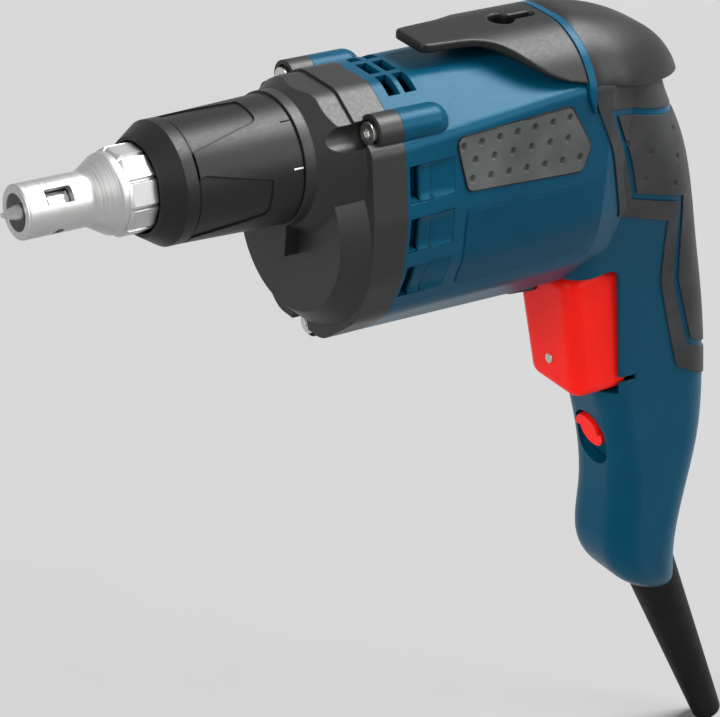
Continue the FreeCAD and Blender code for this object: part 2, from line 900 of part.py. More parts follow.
def armature_core():
    root = core_radius - core_slot_depth
    core = toothed(
        core_slot_count, root, core_radius, core_slot_share, core_slot_share, core_x, core_length, motor_z, 0
    )
    return core.cut(rod(shaft_radius, core_x - cut_overrun, core_x + core_length + cut_overrun, 0, motor_z))


def fan():
    """Plate with straight blades, which start inside the hub and end short of the rim."""
    plate_end = fan_x + fan_plate_length
    fan_end = fan_x + fan_length
    inner = fan_hub_radius - fan_blade_thickness
    outer = fan_radius - fan_blade_thickness
    pieces = [rod(fan_hub_radius, fan_x, fan_end, 0, motor_z)]
    for index in range(fan_blade_count):
        blade = Part.makeBox(
            fan_end - plate_end, fan_blade_thickness, outer - inner,
            vec(plate_end, -fan_blade_thickness / 2, motor_z + inner),
        )
        pieces.append(round_x(blade, 360 / fan_blade_count * index, motor_z))
    bore = rod(shaft_radius, fan_x - cut_overrun, fan_end + cut_overrun, 0, motor_z)
    return rod(fan_radius, fan_x, plate_end, 0, motor_z).fuse(pieces).cut(bore)


def field_window(half_height, reach, start_x, end_x):
    """Pair of boxes on both sides of the armature."""
    inner = core_radius + 2 * air_gap
    boxes = []
    for y in (inner, -inner - reach):
        corner = vec(start_x, y, motor_z - half_height)
        boxes.append(Part.makeBox(end_x - start_x, reach, 2 * half_height, corner))
    return boxes


def field_core():
    end = core_x + core_length
    ring = tube(field_radius, core_radius + air_gap, core_x, end, 0, motor_z)
    window = field_window(field_window_half, field_window_reach, core_x - cut_overrun, end + cut_overrun)
    return ring.cut(window)


def field_coils():
    start = core_x - coil_overhang
    end = core_x + core_length + coil_overhang
    return field_window(field_window_half - seat_gap, field_window_reach - seat_gap, start, end)


def brush_middle_x():
    return commutator_x + commutator_length / 2


def side_box(start_y, length, width, height, side):
    """Box beside the commutator, on one side of the motor axis."""
    low_y = start_y if side > 0 else -start_y - length
    return Part.makeBox(width, length, height, vec(brush_middle_x() - width / 2, low_y, motor_z - height / 2))


def carbon_brush(side):
    return side_box(commutator_radius + moving_gap, brush_length, brush_width, brush_height, side)


def brush_holder(side):
    start = commutator_radius + moving_gap + brush_wall
    end = barrel_half_width_at(brush_middle_x() + brush_width) - housing_wall - seat_gap
    outer = side_box(start, end - start, brush_width + 2 * brush_wall, brush_height + 2 * brush_wall, side)
    room = running_clearance * 2
    start_inner = start - cut_overrun
    inner_length = brush_length - brush_wall + cut_overrun
    return outer.cut(side_box(start_inner, inner_length, brush_width + room, brush_height + room, side))


# Housing shells


def cavity():
    """Inside of both shells, with the ribs that carry the motor left standing."""
    inside = body(housing_wall).cut(cap_zone(housing_wall))
    walls = [block(rear_seat_x, rear_seat_x + rear_seat_length, far_side, -barrel_drop, crown_top)]
    for x in field_rib_places():
        walls.append(block(x, x + field_rib_length, far_side, -barrel_drop, crown_top))
    seats = [
        rod(field_radius, core_x, core_x + core_length, 0, motor_z),
        rod(rear_bearing_radius, rear_seat_x - cut_overrun, rear_seat_x + bearing_length, 0, motor_z),
        rod(shaft_radius + moving_gap, rear_seat_x, shaft_rear_x + moving_gap, 0, motor_z),
    ]
    return inside.cut(walls).fuse(seats)


def field_rib_places():
    return (core_x + field_rib_length, core_x + core_length - 2 * field_rib_length)


def side_vents():
    """Slots and shallow panels behind the gear case, on both sides."""
    cutters = []
    panel_floor = barrel(vent_panel_depth)
    inner_y = barrel_waist_half_width - 2 * housing_wall
    start = case_rear_x + vent_start
    for index in range(vent_count):
        top = vent_top - vent_pitch * index
        bottom = top - vent_height
        for low_y in (inner_y, -far_side):
            depth = far_side - inner_y
            cutters.append(Part.makeBox(vent_length, depth, vent_height, vec(start, low_y, bottom)))
        panel = block(start, start + vent_panel_length, far_side, bottom, top)
        cutters.append(panel.cut(panel_floor))
    return cutters


def top_vents():
    cutters = []
    row_pitch = top_vent_width + top_vent_rib
    for row in range(top_vent_rows):
        y = row_pitch * (row - (top_vent_rows - 1) / 2) - top_vent_width / 2
        for column in range(top_vent_columns):
            x = case_rear_x + top_vent_start + top_vent_pitch * column
            size = (top_vent_length, top_vent_width, barrel_top)
            cutters.append(Part.makeBox(size[0], size[1], size[2], vec(x, y, barrel_top / 2)))
    return cutters


def pad_zone(side):
    """Space of a soft pad in one side of the barrel."""
    outline = [
        (pad_front_x, pad_front_top), (pad_rear_x - pad_rear_lean, pad_rear_top),
        (pad_rear_x, -pad_rear_middle), (pad_rear_x - pad_tail_lean, -pad_rear_bottom),
        (pad_front_x + pad_front_lean, -pad_front_bottom),
    ]
    start = side * barrel_waist_half_width / 2
    depth = side * (far_side - barrel_waist_half_width / 2)
    return prism(outline, in_side(start), y_axis * depth, [pad_corner] * len(outline))


def side_pad(side):
    return pad_zone(side).common(barrel(-pad_proud)).cut(barrel(pad_depth))


def grip_pad_outline():
    return inset_outline([behind(*share) for share in band_inner_shares], grip_rib)


def band_zone():
    outer = side_prism([behind(*share) for share in band_shares], far_side)
    inner = side_prism([behind(*share) for share in band_inner_shares], far_side + cut_overrun)
    return outer.cut(inner).cut(cap_zone())


def pad_back_zone():
    return side_prism(grip_pad_outline(), far_side).cut(cap_zone())


def trigger_outline(grow=0):
    """Side view of the trigger in front of the handle: front top, rear top, rear bottom, front bottom."""
    return inset_outline([behind(*share) for share in trigger_shares], -grow)


def trigger_pocket_outline(front):
    """Side view of the space the trigger needs over its travel, open in front."""
    front_top, rear_top, rear_bottom, front_bottom = trigger_outline(moving_gap)
    run = trigger_depth + trigger_travel
    return [
        (front, front_top[1]), rear_top, (rear_top[0] + run, rear_top[1]),
        (rear_bottom[0] + run, rear_bottom[1]), (front, front_bottom[1]),
    ]


def trigger_sides(grow):
    """Space between the trigger's two leaning cheeks, grown by a gap."""
    front_top, rear_top, rear_bottom, front_bottom = trigger_outline(grow)
    half = [
        (trigger_half_width + grow, front_bottom[1]), (trigger_top_half_width + grow, rear_top[1]),
    ]
    start = front_top[0] - cut_overrun
    return prism(mirrored(half), in_section(start), x_axis * (tool_length - start))


def lever_x():
    """Pivot of the direction lever, in front of the trigger."""
    return trigger_outline()[0][0] - lever_trigger_gap - lever_tab_radius


def notch_front_x():
    return lever_x() + lever_tab_radius


def trigger_guide():
    """Walls left standing round the trigger's pocket."""
    return side_prism(inset_outline(trigger_pocket_outline(notch_front_x()), -housing_wall), far_side)


def trigger_cutters():
    """Notch for the trigger, its travel pocket, its stem's slot and the slots beside its corner."""
    front_top, rear_top, rear_bottom, front_bottom = trigger_outline(moving_gap)
    front = notch_front_x()
    notch_outline = [(front, front_top[1]), rear_top, rear_bottom, (front, front_bottom[1])]
    notch = side_prism(notch_outline, far_side, (0, trigger_notch_corner, 0, 0))
    pocket = side_prism(trigger_pocket_outline(front), far_side).common(trigger_sides(moving_gap))
    slot_bottom = rear_bottom[1] + trigger_corner
    slot_end = rear_bottom[0] + trigger_travel
    slot = block(rear_top[0], slot_end, far_side, slot_bottom, slot_bottom + trigger_slot_height)
    return [notch, pocket, slot, stem_bar(moving_gap, rear_top[0], switch_front_x())]


def stem_bar(grow, start_x, end_x):
    """Bar from the trigger into the switch, grown by a gap."""
    top = trigger_outline()[0][1]
    bottom = trigger_outline()[3][1]
    z = top + trigger_stem_drop_share * (bottom - top)
    half_height = trigger_stem_height / 2 + grow
    return block(start_x, end_x, trigger_stem_half_width + grow, z - half_height, z + half_height)


def switch_front_x():
    run = trigger_depth + trigger_travel + moving_gap
    return trigger_outline()[2][0] + run + housing_wall + seat_gap


def lock_bar(half_width, half_height, rise, start, end):
    """Round-sided bar square to the leaning front of the handle, between two depths."""
    outline = [
        (half_width, rise + half_height), (-half_width, rise + half_height),
        (-half_width, rise - half_height), (half_width, rise - half_height),
    ]
    radii = [lock_corner_share * half_width] * len(outline)
    bar = prism(outline, in_section(start), x_axis * (end - start), radii)
    bar.rotate(vec(0, 0, 0), y_axis, -lock_lean)
    x, z = behind(*lock_place_shares)
    bar.translate(vec(x, 0, z))
    return bar


def lock_cup():
    end = lock_recess_depth + housing_wall
    return lock_bar(lock_recess_half_width + housing_wall, lock_recess_half_height + housing_wall, 0, 0, end)


def lock_cutters():
    """Finger recess in the front of the handle and the hole for the button."""
    recess = lock_bar(
        lock_recess_half_width, lock_recess_half_height, 0, -lock_recess_half_width, lock_recess_depth
    )
    hole = lock_bar(
        lock_half_width + moving_gap, lock_half_height + moving_gap, lock_rise,
        0, lock_recess_depth + housing_wall + cut_overrun,
    )
    return [recess, hole]


def sleeve_axis():
    lean = math.radians(sleeve_lean)
    return vec(math.sin(lean), 0, -math.cos(lean))


def sleeve_point(run):
    """Place on the axis of the cord sleeve, from its inner end."""
    x, z = behind(*sleeve_place_shares)
    return vec(x, 0, z) + sleeve_axis() * run


def along_sleeve(radius, start, end):
    """Round bar on the axis of the cord sleeve."""
    axis = sleeve_axis()
    return Part.makeCylinder(radius, end - start, sleeve_point(start), axis)


def sleeve_hole():
    flange = along_sleeve(sleeve_flange_radius + seat_gap, -seat_gap, sleeve_flange_length + seat_gap)
    return flange.fuse(along_sleeve(sleeve_neck_radius + seat_gap, 0, 2 * handle_half_width))


def handle_front_x():
    return behind(handle_shares[8][1], 0)[0]


def handle_screw_z():
    return handle_screw_share * handle_drop


def handle_back_x():
    return behind(handle_shares[8][2], 0)[0]


def handle_screw_cutters():
    seat = handle_back_x() - handle_screw_inset + screw_head_length
    notch = rod(handle_notch_radius, seat, tool_length + cut_overrun, 0, handle_screw_z())
    hole_radius = screw_shank_radius + running_clearance
    hole = rod(hole_radius, seat - handle_screw_length - cut_overrun, seat, 0, handle_screw_z())
    return [notch, hole]


def shells():
    """The front shell with the barrel and the rear shell behind the parting line."""
    outer = body()
    inside = cavity()
    shell = outer.cut(cap_zone()).cut(inside)
    bosses = [
        lock_cup().common(outer), trigger_guide().common(outer),
        rod(screw_boss_radius, handle_front_x(), handle_back_x(), 0, handle_screw_z()).common(outer),
    ]
    for y, z, radius in screw_places():
        bosses.append(rod(radius, case_rear_x, case_rear_x + screw_boss_length, y, z))
        bosses.append(Part.makeSphere(radius, vec(case_rear_x + screw_boss_length, y, z)))
    bosses = [boss.cut(front_cut()) for boss in bosses]
    zone = front_zone()
    whole = shell.fuse(bosses)
    cutters = side_vents() + top_vents() + trigger_cutters() + lock_cutters() + handle_screw_cutters()
    cutters.append(sleeve_hole())
    for side in (-1, 1):
        cutters.append(pad_zone(side).cut(barrel(pad_depth)))
    for y, z, radius in screw_places():
        end = screw_seat_x() + screw_shank_length + seat_gap
        cutters.append(rod(screw_shank_radius + running_clearance, case_rear_x - cut_overrun, end, y, z))
    post_top = -barrel_drop + lever_post_length
    post = Part.makeCylinder(
        lever_post_radius + running_clearance, lever_post_length + cut_overrun,
        vec(lever_x(), 0, post_top - lever_post_length - cut_overrun + moving_gap), z_axis,
    )
    cutters.append(post)
    whole = whole.cut(cutters)
    front = whole.common(zone)
    rear = whole.cut(zone)
    rim = crown(parting_x, cap_start).cut([inside, zone])
    core = body(grip_depth)
    pockets = [band_zone().cut(core), pad_back_zone().cut(core)]
    rear = rear.fuse(rim).cut(pockets)
    return front.removeSplitter(), rear.removeSplitter()


def front_cut():
    """Space in front of the barrel."""
    return block(0, case_rear_x, far_side, -handle_drop, crown_top)


def grip_band():
    return band_zone().common(body(-grip_proud)).cut(body(grip_depth))


def grip_pad():
    return pad_back_zone().common(body(-grip_proud)).cut(body(grip_depth))


# Crown pieces


def cap_section(x_share, top_share, width_share):
    """The crown's section, drawn in towards the rear end of the cap."""
    half = []
    for across, along in crown_corner_shares:
        height = along * crown_top
        if along > 0:
            height *= top_share
        half.append((width_share * across * crown_half_width, height))
    half_radii = [share * min(top_share, width_share) * crown_half_width for share in crown_radius_shares]
    place = in_section(cap_start + x_share * handle_run)
    return rounded_wire([place(point) for point in mirrored(half)], half_radii + half_radii[::-1])


def rear_cap():
    sections = [cap_section(*shares) for shares in cap_section_shares]
    return Part.makeLoft(sections, True, False).common(cap_zone())


def belt_hook():
    wing_x = hook_root_x + hook_wing_share * (hook_end - hook_root_x)
    half = [
        (hook_tip_x, hook_tip_half_width), (hook_root_x, hook_root_half_width),
        (wing_x, hook_wing_width_share * crown_half_width), (hook_end, crown_half_width),
    ]
    outline = half + [(x, -y) for x, y in reversed(half)]
    radii = [hook_corner, hook_bend_radius, hook_bend_radius, least_corner]
    plan = prism(outline, in_plan(-crown_top), z_axis * (3 * crown_top), radii + radii[::-1])
    underside = crown_top - hook_thickness
    front = hook_tip_x - cut_overrun
    rear = hook_end + cut_overrun
    gap = side_prism(
        [
            (front, underside), (hook_root_x, underside), (hook_wing_x, hook_wing_bottom_share * crown_top),
            (rear, hook_end_bottom_share * crown_top), (rear, -crown_top), (front, -crown_top),
        ],
        far_side,
        (0, hook_bend_radius, hook_wing_radius, 0, 0, 0),
    )
    keyhole = Part.makeCylinder(keyhole_radius, crown_top, vec(keyhole_x, 0, barrel_top), z_axis)
    slot_corner = vec(keyhole_x, -keyhole_slot_radius, barrel_top)
    slot = Part.makeBox(keyhole_slot_length, 2 * keyhole_slot_radius, crown_top, slot_corner)
    slot_end = Part.makeCylinder(
        keyhole_slot_radius, crown_top, vec(keyhole_x + keyhole_slot_length, 0, barrel_top), z_axis
    )
    shape = crown(hook_tip_x, hook_end).common(plan).cut(gap).cut([keyhole, slot, slot_end])
    return shape.cut(body())


# Controls


def trigger():
    front_top, rear_top, rear_bottom, front_bottom = trigger_outline()
    outline = [
        front_top, rear_top, (rear_top[0] + trigger_depth, rear_top[1]),
        (rear_bottom[0] + trigger_depth, rear_bottom[1]), front_bottom,
    ]
    shape = side_prism(outline, far_side, [trigger_corner] * len(outline)).common(trigger_sides(0))
    stem = stem_bar(0, rear_top[0], switch_front_x() + trigger_stem_reach)
    edges = [edge for edge in shape.Edges if is_front_corner(edge)]
    shape = shape.makeFillet(trigger_front_corner, edges).fuse(stem)
    return shape.cut(speed_screw_bar(running_clearance))


def is_front_corner(edge):
    """Straight edge down one side of the trigger's front face."""
    centre = edge.CenterOfMass
    middle = trigger_front_point(1 / 2)
    near = abs(centre.x - middle.x) < trigger_corner and abs(centre.z - middle.z) < trigger_corner
    return near and edge.Length > trigger_half_width


def trigger_front_point(share):
    """Place on the middle line of the trigger's front face, a share of the way down."""
    front_top, rear_top, rear_bottom, front_bottom = trigger_outline()
    x = front_top[0] + share * (front_bottom[0] - front_top[0])
    z = front_top[1] + share * (front_bottom[1] - front_top[1])
    return vec(x, 0, z)


def speed_screw_bar(grow):
    place = trigger_front_point(speed_screw_drop_share)
    start = place.x - speed_screw_proud
    return rod(speed_screw_radius + grow, start, place.x + speed_screw_length, 0, place.z)


def direction_lever():
    pivot_x = lever_x()
    tab_top = -barrel_drop - lever_drop_gap
    tab_bottom = tab_top - lever_tab_height
    post_length = lever_post_length + lever_drop_gap
    post = Part.makeCylinder(lever_post_radius, post_length, vec(pivot_x, 0, tab_top), z_axis)
    disc = Part.makeCylinder(lever_tab_radius, lever_tab_height, vec(pivot_x, 0, tab_bottom), z_axis)
    tip_x = pivot_x - lever_tab_length + lever_post_radius
    tip = Part.makeCylinder(lever_post_radius, lever_tab_height, vec(tip_x, 0, tab_bottom), z_axis)
    outline = [
        (tip_x, -lever_post_radius), (pivot_x, -lever_tab_radius), (pivot_x, lever_tab_radius),
        (tip_x, lever_post_radius),
    ]
    web = prism(outline, in_plan(tab_bottom), z_axis * lever_tab_height)
    return post.fuse([disc, tip, web]).removeSplitter()


def lock_button():
    end = lock_recess_depth + housing_wall + lock_travel
    return lock_bar(lock_half_width, lock_half_height, lock_rise, lock_sink, end)


# Handle contents and cord sleeve


def inner_half_width():
    return handle_half_width - housing_wall - inner_side_gap


def switch_body():
    front = switch_front_x()
    top = switch_top_share * handle_drop
    shape = block(front, front + switch_length, switch_half_width, top - switch_height, top)
    room_end = front + trigger_stem_reach + trigger_travel + moving_gap
    return shape.cut(stem_bar(moving_gap, front - cut_overrun, room_end))


def suppressor():
    x, z = behind(*suppressor_place_shares)
    return block(x, x + suppressor_length, inner_half_width(), z - suppressor_height, z)


def cord_clamp():
    x, z = behind(*clamp_place_shares)
    return block(x, x + clamp_length, inner_half_width(), z, z + clamp_height)


def cord_sleeve():
    """Tapered strain relief held by a flange inside the handle, with a bore for the cord."""
    axis = sleeve_axis()
    place = sleeve_point(sleeve_bell_start)
    bell_length = sleeve_length - sleeve_bell_start
    bell = Part.makeCone(sleeve_root_radius, sleeve_tip_radius, bell_length, place, axis).cut(handle())
    neck = along_sleeve(sleeve_neck_radius, 0, 2 * handle_half_width)
    flange = along_sleeve(sleeve_flange_radius, 0, sleeve_flange_length)
    bore = along_sleeve(sleeve_bore_radius, -cut_overrun, sleeve_length + cut_overrun)
    return bell.fuse([neck, flange]).cut(bore)


def handle_screw():
    head_x = handle_back_x() - handle_screw_inset
    seat = head_x + screw_head_length
    head = rod(screw_head_radius, seat, seat + screw_head_length, 0, handle_screw_z())
    shank = rod(screw_shank_radius, seat - handle_screw_length, seat, 0, handle_screw_z())
    drive_start = seat + screw_head_length - screw_drive_depth
    drive_end = seat + screw_head_length + cut_overrun
    drive = hexagon(screw_drive_radius, drive_start, drive_end, 0, handle_screw_z())
    return head.fuse(shank).cut(drive)


def pieces():
    """Every node by name."""
    front, rear = shells()
    coil_left, coil_right = field_coils()[1], field_coils()[0]
    screw_left, screw_right, screw_low = (case_screw(y, z) for y, z, radius in screw_places())
    core_end = core_x + core_length
    rear_bearing_end = rear_seat_x + bearing_length
    return {
        "motor_housing": front,
        "rear_shell": rear,
        "rear_cap": rear_cap(),
        "grip_band": grip_band(),
        "grip_pad": grip_pad(),
        "side_pad_left": side_pad(-1),
        "side_pad_right": side_pad(1),
        "belt_hook": belt_hook(),
        "gear_case": gear_case(),
        "bearing_plate": bearing_plate(),
        "case_screw_left": screw_left,
        "case_screw_right": screw_right,
        "case_screw_low": screw_low,
        "handle_screw": handle_screw(),
        "spindle_bush": spindle_bush(),
        "front_bearing": tube(
            front_bearing_radius, shaft_radius + running_clearance, plate_front_x,
            plate_front_x + bearing_length, 0, motor_z,
        ),
        "rear_bearing": tube(
            rear_bearing_radius, shaft_radius + running_clearance, rear_seat_x, rear_bearing_end, 0, motor_z
        ),
        "field_core": field_core(),
        "field_coil_left": coil_left,
        "field_coil_right": coil_right,
        "brush_holder_left": brush_holder(-1),
        "brush_holder_right": brush_holder(1),
        "carbon_brush_left": carbon_brush(-1),
        "carbon_brush_right": carbon_brush(1),
        "switch_body": switch_body(),
        "suppressor": suppressor(),
        "cord_clamp": cord_clamp(),
        "cord_sleeve": cord_sleeve(),
        "armature_shaft": armature_shaft(),
        "armature_core": armature_core(),
        "winding_front": tube(winding_radius, shaft_radius, core_x - winding_length, core_x, 0, motor_z),
        "winding_rear": tube(winding_radius, shaft_radius, core_end, core_end + winding_length, 0, motor_z),
        "commutator": tube(
            commutator_radius, shaft_radius, commutator_x, commutator_x + commutator_length, 0, motor_z
        ),
        "fan": fan(),
        "drive_gear": drive_gear(),
        "spindle": spindle(),
        "bit_holder": bit_holder(),
        "screwdriver_bit": screwdriver_bit(),
        "clutch_spring": clutch_spring(),
        "depth_collar": depth_collar(),
        "nose_stop": nose_stop(),
        "stop_ring": stop_ring(),
        "trigger": trigger(),
        "speed_screw": speed_screw_bar(0),
        "direction_lever": direction_lever(),
        "lock_button": lock_button(),
    }


def main():
    os.makedirs("parts", exist_ok=True)
    for name, shape in pieces().items():
        solids = shape.Solids
        print(name, "solids", len(solids), "valid", shape.isValid(), "volume", round(shape.Volume))
        if len(solids) == 1:
            shape = solids[0]
        shape.exportStep("parts/" + name + ".step")


main()
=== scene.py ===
import json
import math

import bmesh
import bpy
from bpy.props import FloatProperty, FloatVectorProperty, IntProperty, PointerProperty
from mathutils import Euler, Matrix, Vector
from mathutils.bvhtree import BVHTree
from mathutils.interpolate import poly_3d_calc


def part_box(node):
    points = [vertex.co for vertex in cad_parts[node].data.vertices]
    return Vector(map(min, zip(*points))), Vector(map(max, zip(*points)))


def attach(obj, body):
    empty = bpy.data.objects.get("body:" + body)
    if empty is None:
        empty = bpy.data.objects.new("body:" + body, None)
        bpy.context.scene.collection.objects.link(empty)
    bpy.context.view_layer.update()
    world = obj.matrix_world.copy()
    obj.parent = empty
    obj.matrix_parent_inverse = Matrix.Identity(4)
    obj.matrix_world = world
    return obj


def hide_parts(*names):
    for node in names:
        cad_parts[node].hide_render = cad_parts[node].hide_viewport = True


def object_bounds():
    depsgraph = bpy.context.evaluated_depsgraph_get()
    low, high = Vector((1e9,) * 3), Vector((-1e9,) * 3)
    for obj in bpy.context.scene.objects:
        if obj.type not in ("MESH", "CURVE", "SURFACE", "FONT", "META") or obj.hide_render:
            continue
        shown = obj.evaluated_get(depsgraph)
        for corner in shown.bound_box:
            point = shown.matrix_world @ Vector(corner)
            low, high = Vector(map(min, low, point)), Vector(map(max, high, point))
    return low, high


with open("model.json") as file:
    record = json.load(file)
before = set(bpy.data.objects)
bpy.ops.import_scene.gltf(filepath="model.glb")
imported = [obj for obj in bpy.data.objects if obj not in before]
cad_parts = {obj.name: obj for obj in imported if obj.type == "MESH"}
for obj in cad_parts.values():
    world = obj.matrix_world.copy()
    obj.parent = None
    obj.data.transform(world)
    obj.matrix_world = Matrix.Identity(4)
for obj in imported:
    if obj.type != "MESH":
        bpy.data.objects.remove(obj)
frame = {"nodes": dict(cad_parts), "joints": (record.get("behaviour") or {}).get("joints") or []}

bl_info = {
    "name": "Drywall screwdriver",
    "version": (1, 0, 0),
    "blender": (4, 5, 0),
    "location": "View3D > Sidebar > Screwdriver",
    "description": "Dresses the drywall screwdriver with its finishes and moulded details",
    "category": "Object",
}

mm = 0.001
cad_box = [list(corner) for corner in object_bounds()]
nodes = frame["nodes"]

# Pieces by their finish
blue_shells = ("motor_housing", "rear_shell")
dark_covers = ("rear_cap", "belt_hook", "depth_collar")
cast_covers = ("gear_case",)
red_controls = ("trigger", "lock_button")
plated_screws = ("case_screw_left", "case_screw_right", "case_screw_low", "handle_screw", "speed_screw")
hard_steels = ("spindle", "bit_holder", "screwdriver_bit", "armature_shaft", "clutch_spring", "drive_gear")
bearings = ("front_bearing", "rear_bearing", "brush_holder_left", "brush_holder_right", "spindle_bush")
plate_stacks = ("field_core", "armature_core")
windings = ("field_coil_left", "field_coil_right", "winding_front", "winding_rear")
carbons = ("carbon_brush_left", "carbon_brush_right")
inner_mouldings = ("switch_body", "suppressor", "cord_clamp", "fan", "bearing_plate")

# The two side pads and the side of the tool that each is on
pad_sides = (("side_pad_left", -1.0), ("side_pad_right", 1.0))

# Rows of dimples on a side pad: front and rear end as (x, z), and how many
dimple_rows = (
    ((148.6, 7.1), (195.0, 8.2), 7),
    ((153.7, 1.7), (194.6, 0.9), 6),
    ((152.4, -4.5), (200.6, -7.1), 7),
)

# Corners of a side pad as (x, z), and the radius that rounds them
pad_corners = ((145.8, 10.0), (195.5, 11.8), (206.0, -4.0), (202.5, -12.6), (150.8, -8.6))
pad_corner = 3.0

# Painted shadow rim round a side pad: share of its width laid inward, pitch of its cuts, lift off the skin,
# thickness
shadow_rim_reach = 1.2
shadow_rim_cut_pitch = 3.0
shadow_rim_lift = 0.04
shadow_rim_thickness = 0.3

# Dimples in the grip pad: rows, height of the first, pitch down, columns each way and the turn between them
grip_rows = 8
grip_row_top = -9.0
grip_row_pitch = 5.2
grip_columns = 4
grip_column_turn = math.radians(19.0)

# Side vents: front of the slots, top of the first, their height, pitch and count
vent_front = 126.2
vent_top = 4.5
vent_height = 12.5
vent_pitch = 17.5
vent_count = 3

# Sunk panel of a vent: depth, length, length of its slot, and how far from their edges the skin is felt
vent_depth = 1.3
vent_length = 19.0
vent_slot = 7.5
slot_margin = 0.4
panel_margin = 0.3

# Guide blade, inner vane and slope of a vent as (way behind the slot's front, depth), and their slices
louvre_section = (
    (4.4, 3.4), (4.4, 1.3), (4.9, 0.9), (8.6, 0.8), (8.9, 1.0), (9.1, 1.28), (18.9, 0.02), (18.9, 1.5),
    (9.0, 1.5), (8.4, 3.4), (5.6, 3.9), (0.4, 7.9), (-0.3, 7.2),
)
louvre_slices = 8

# Bare plate on the left side: corners as (x, z), cuts as (first place, way to the next), and their count
plate_corners = ((151.0, -15.6), (212.3, -19.2), (216.6, -47.2), (151.0, -44.6))
plate_cuts = (((160.0, 0.0, 0.0), (6.0, 0.0, 0.0)), ((0.0, 0.0, -45.0), (0.0, 0.0, 4.0)))
plate_cut_count = 10

# Index mark: setback from the rim as a share of its length, height and bevel as shares of its width
mark_setback = 0.55
mark_rise = 0.4
mark_bevel = 0.15
mark_bevel_steps = 2

# How deep the thumb ledge goes into the lock button
ledge_root = 2.0

# Share of the way that each smoothing step moves the hook's points
hook_ease = 0.5

# Meshes: steps of a rounded corner, balls that press dimples, slack on a ball, pull of a corner, smooth angle
corner_steps = 6
ball_segments = 18
ball_rings = 24
ball_slack = 1.002
corner_pull = 0.05
smooth_angle = math.radians(35.0)

# Lengths in metres: weld of a piece's loose triangles, and where rays start outside a piece or the tool
weld_reach = 0.002 * mm
piece_clear = 0.1
tool_clear = 0.2

# Shares of another piece's colour: lever and painted-shade mark of the covers, plate of the shell, ring of
# the nose
lever_share = 0.6
mark_shade_share = 0.3
plate_share = 0.92
ring_share = 0.98

# Moulded skin: gain and lift of the colour on rubbed edges, its share in painted crease shade, the crease's
# reach
edge_gain = 1.5
edge_lift = 0.012
crease_shade_share = 0.2
crease_reach = 1.3 * mm

# How much finer than the grain the speckle of a moulded skin is
speckle_fineness = 1.2

# How much longer than wide a lathe mark is
ring_stretch = 60.0

# Sockets of a colour mix: its two colours and its result
mix_dark = 6
mix_light = 7
mix_result = 2


def colour_setting(name, description, default):
    """Property that holds a colour."""
    return FloatVectorProperty(
        name=name, description=description, subtype="COLOR", min=0.0, max=1.0, default=default)


class DriverColours(bpy.types.PropertyGroup):
    """Colours of the finishes."""

    shell: colour_setting("Shell", "Blue of the moulded housing", (0.0013, 0.048, 0.091))
    gloss: colour_setting("Shell gloss", "Tint of the soft reflections on the blue pieces", (0.3, 0.72, 1.0))
    cover: colour_setting("Covers", "Dark grey of the cap, hook and collar", (0.006, 0.0063, 0.0066))
    case: colour_setting("Gear case", "Painted grey of the gear case", (0.012, 0.0125, 0.0127))
    grip: colour_setting("Grips", "Black of the soft grips", (0.034, 0.035, 0.036))
    pad: colour_setting("Side pads", "Grey of the side pads", (0.068, 0.070, 0.071))
    sleeve: colour_setting("Sleeve", "Black of the cord sleeve", (0.004, 0.0042, 0.0044))
    control: colour_setting("Controls", "Red of the trigger and lock button", (0.82, 0.010, 0.005))
    nose: colour_setting("Nose", "Silver of the nose and its ring", (0.49, 0.49, 0.485))
    mark: colour_setting("Index mark", "Paint of the pale mark on the collar", (0.72, 0.72, 0.70))
    plating: colour_setting("Plating", "Bright plating of the screws", (0.62, 0.61, 0.58))
    steel: colour_setting("Steel", "Hardened steel of the drive", (0.52, 0.52, 0.53))
    bronze: colour_setting("Bronze", "Bronze of the bearings and brush holders", (0.62, 0.48, 0.26))
    stack: colour_setting("Plate stacks", "Steel of the motor's plates", (0.34, 0.34, 0.36))
    wire: colour_setting("Wire", "Enamelled copper of the windings", (0.72, 0.32, 0.14))
    copper: colour_setting("Copper", "Turned copper of the commutator", (0.78, 0.42, 0.24))
    inner: colour_setting("Inner mouldings", "Dark plastic inside the housing", (0.05, 0.05, 0.048))
    carbon: colour_setting("Carbon", "Black of the brushes", (0.012, 0.012, 0.013))


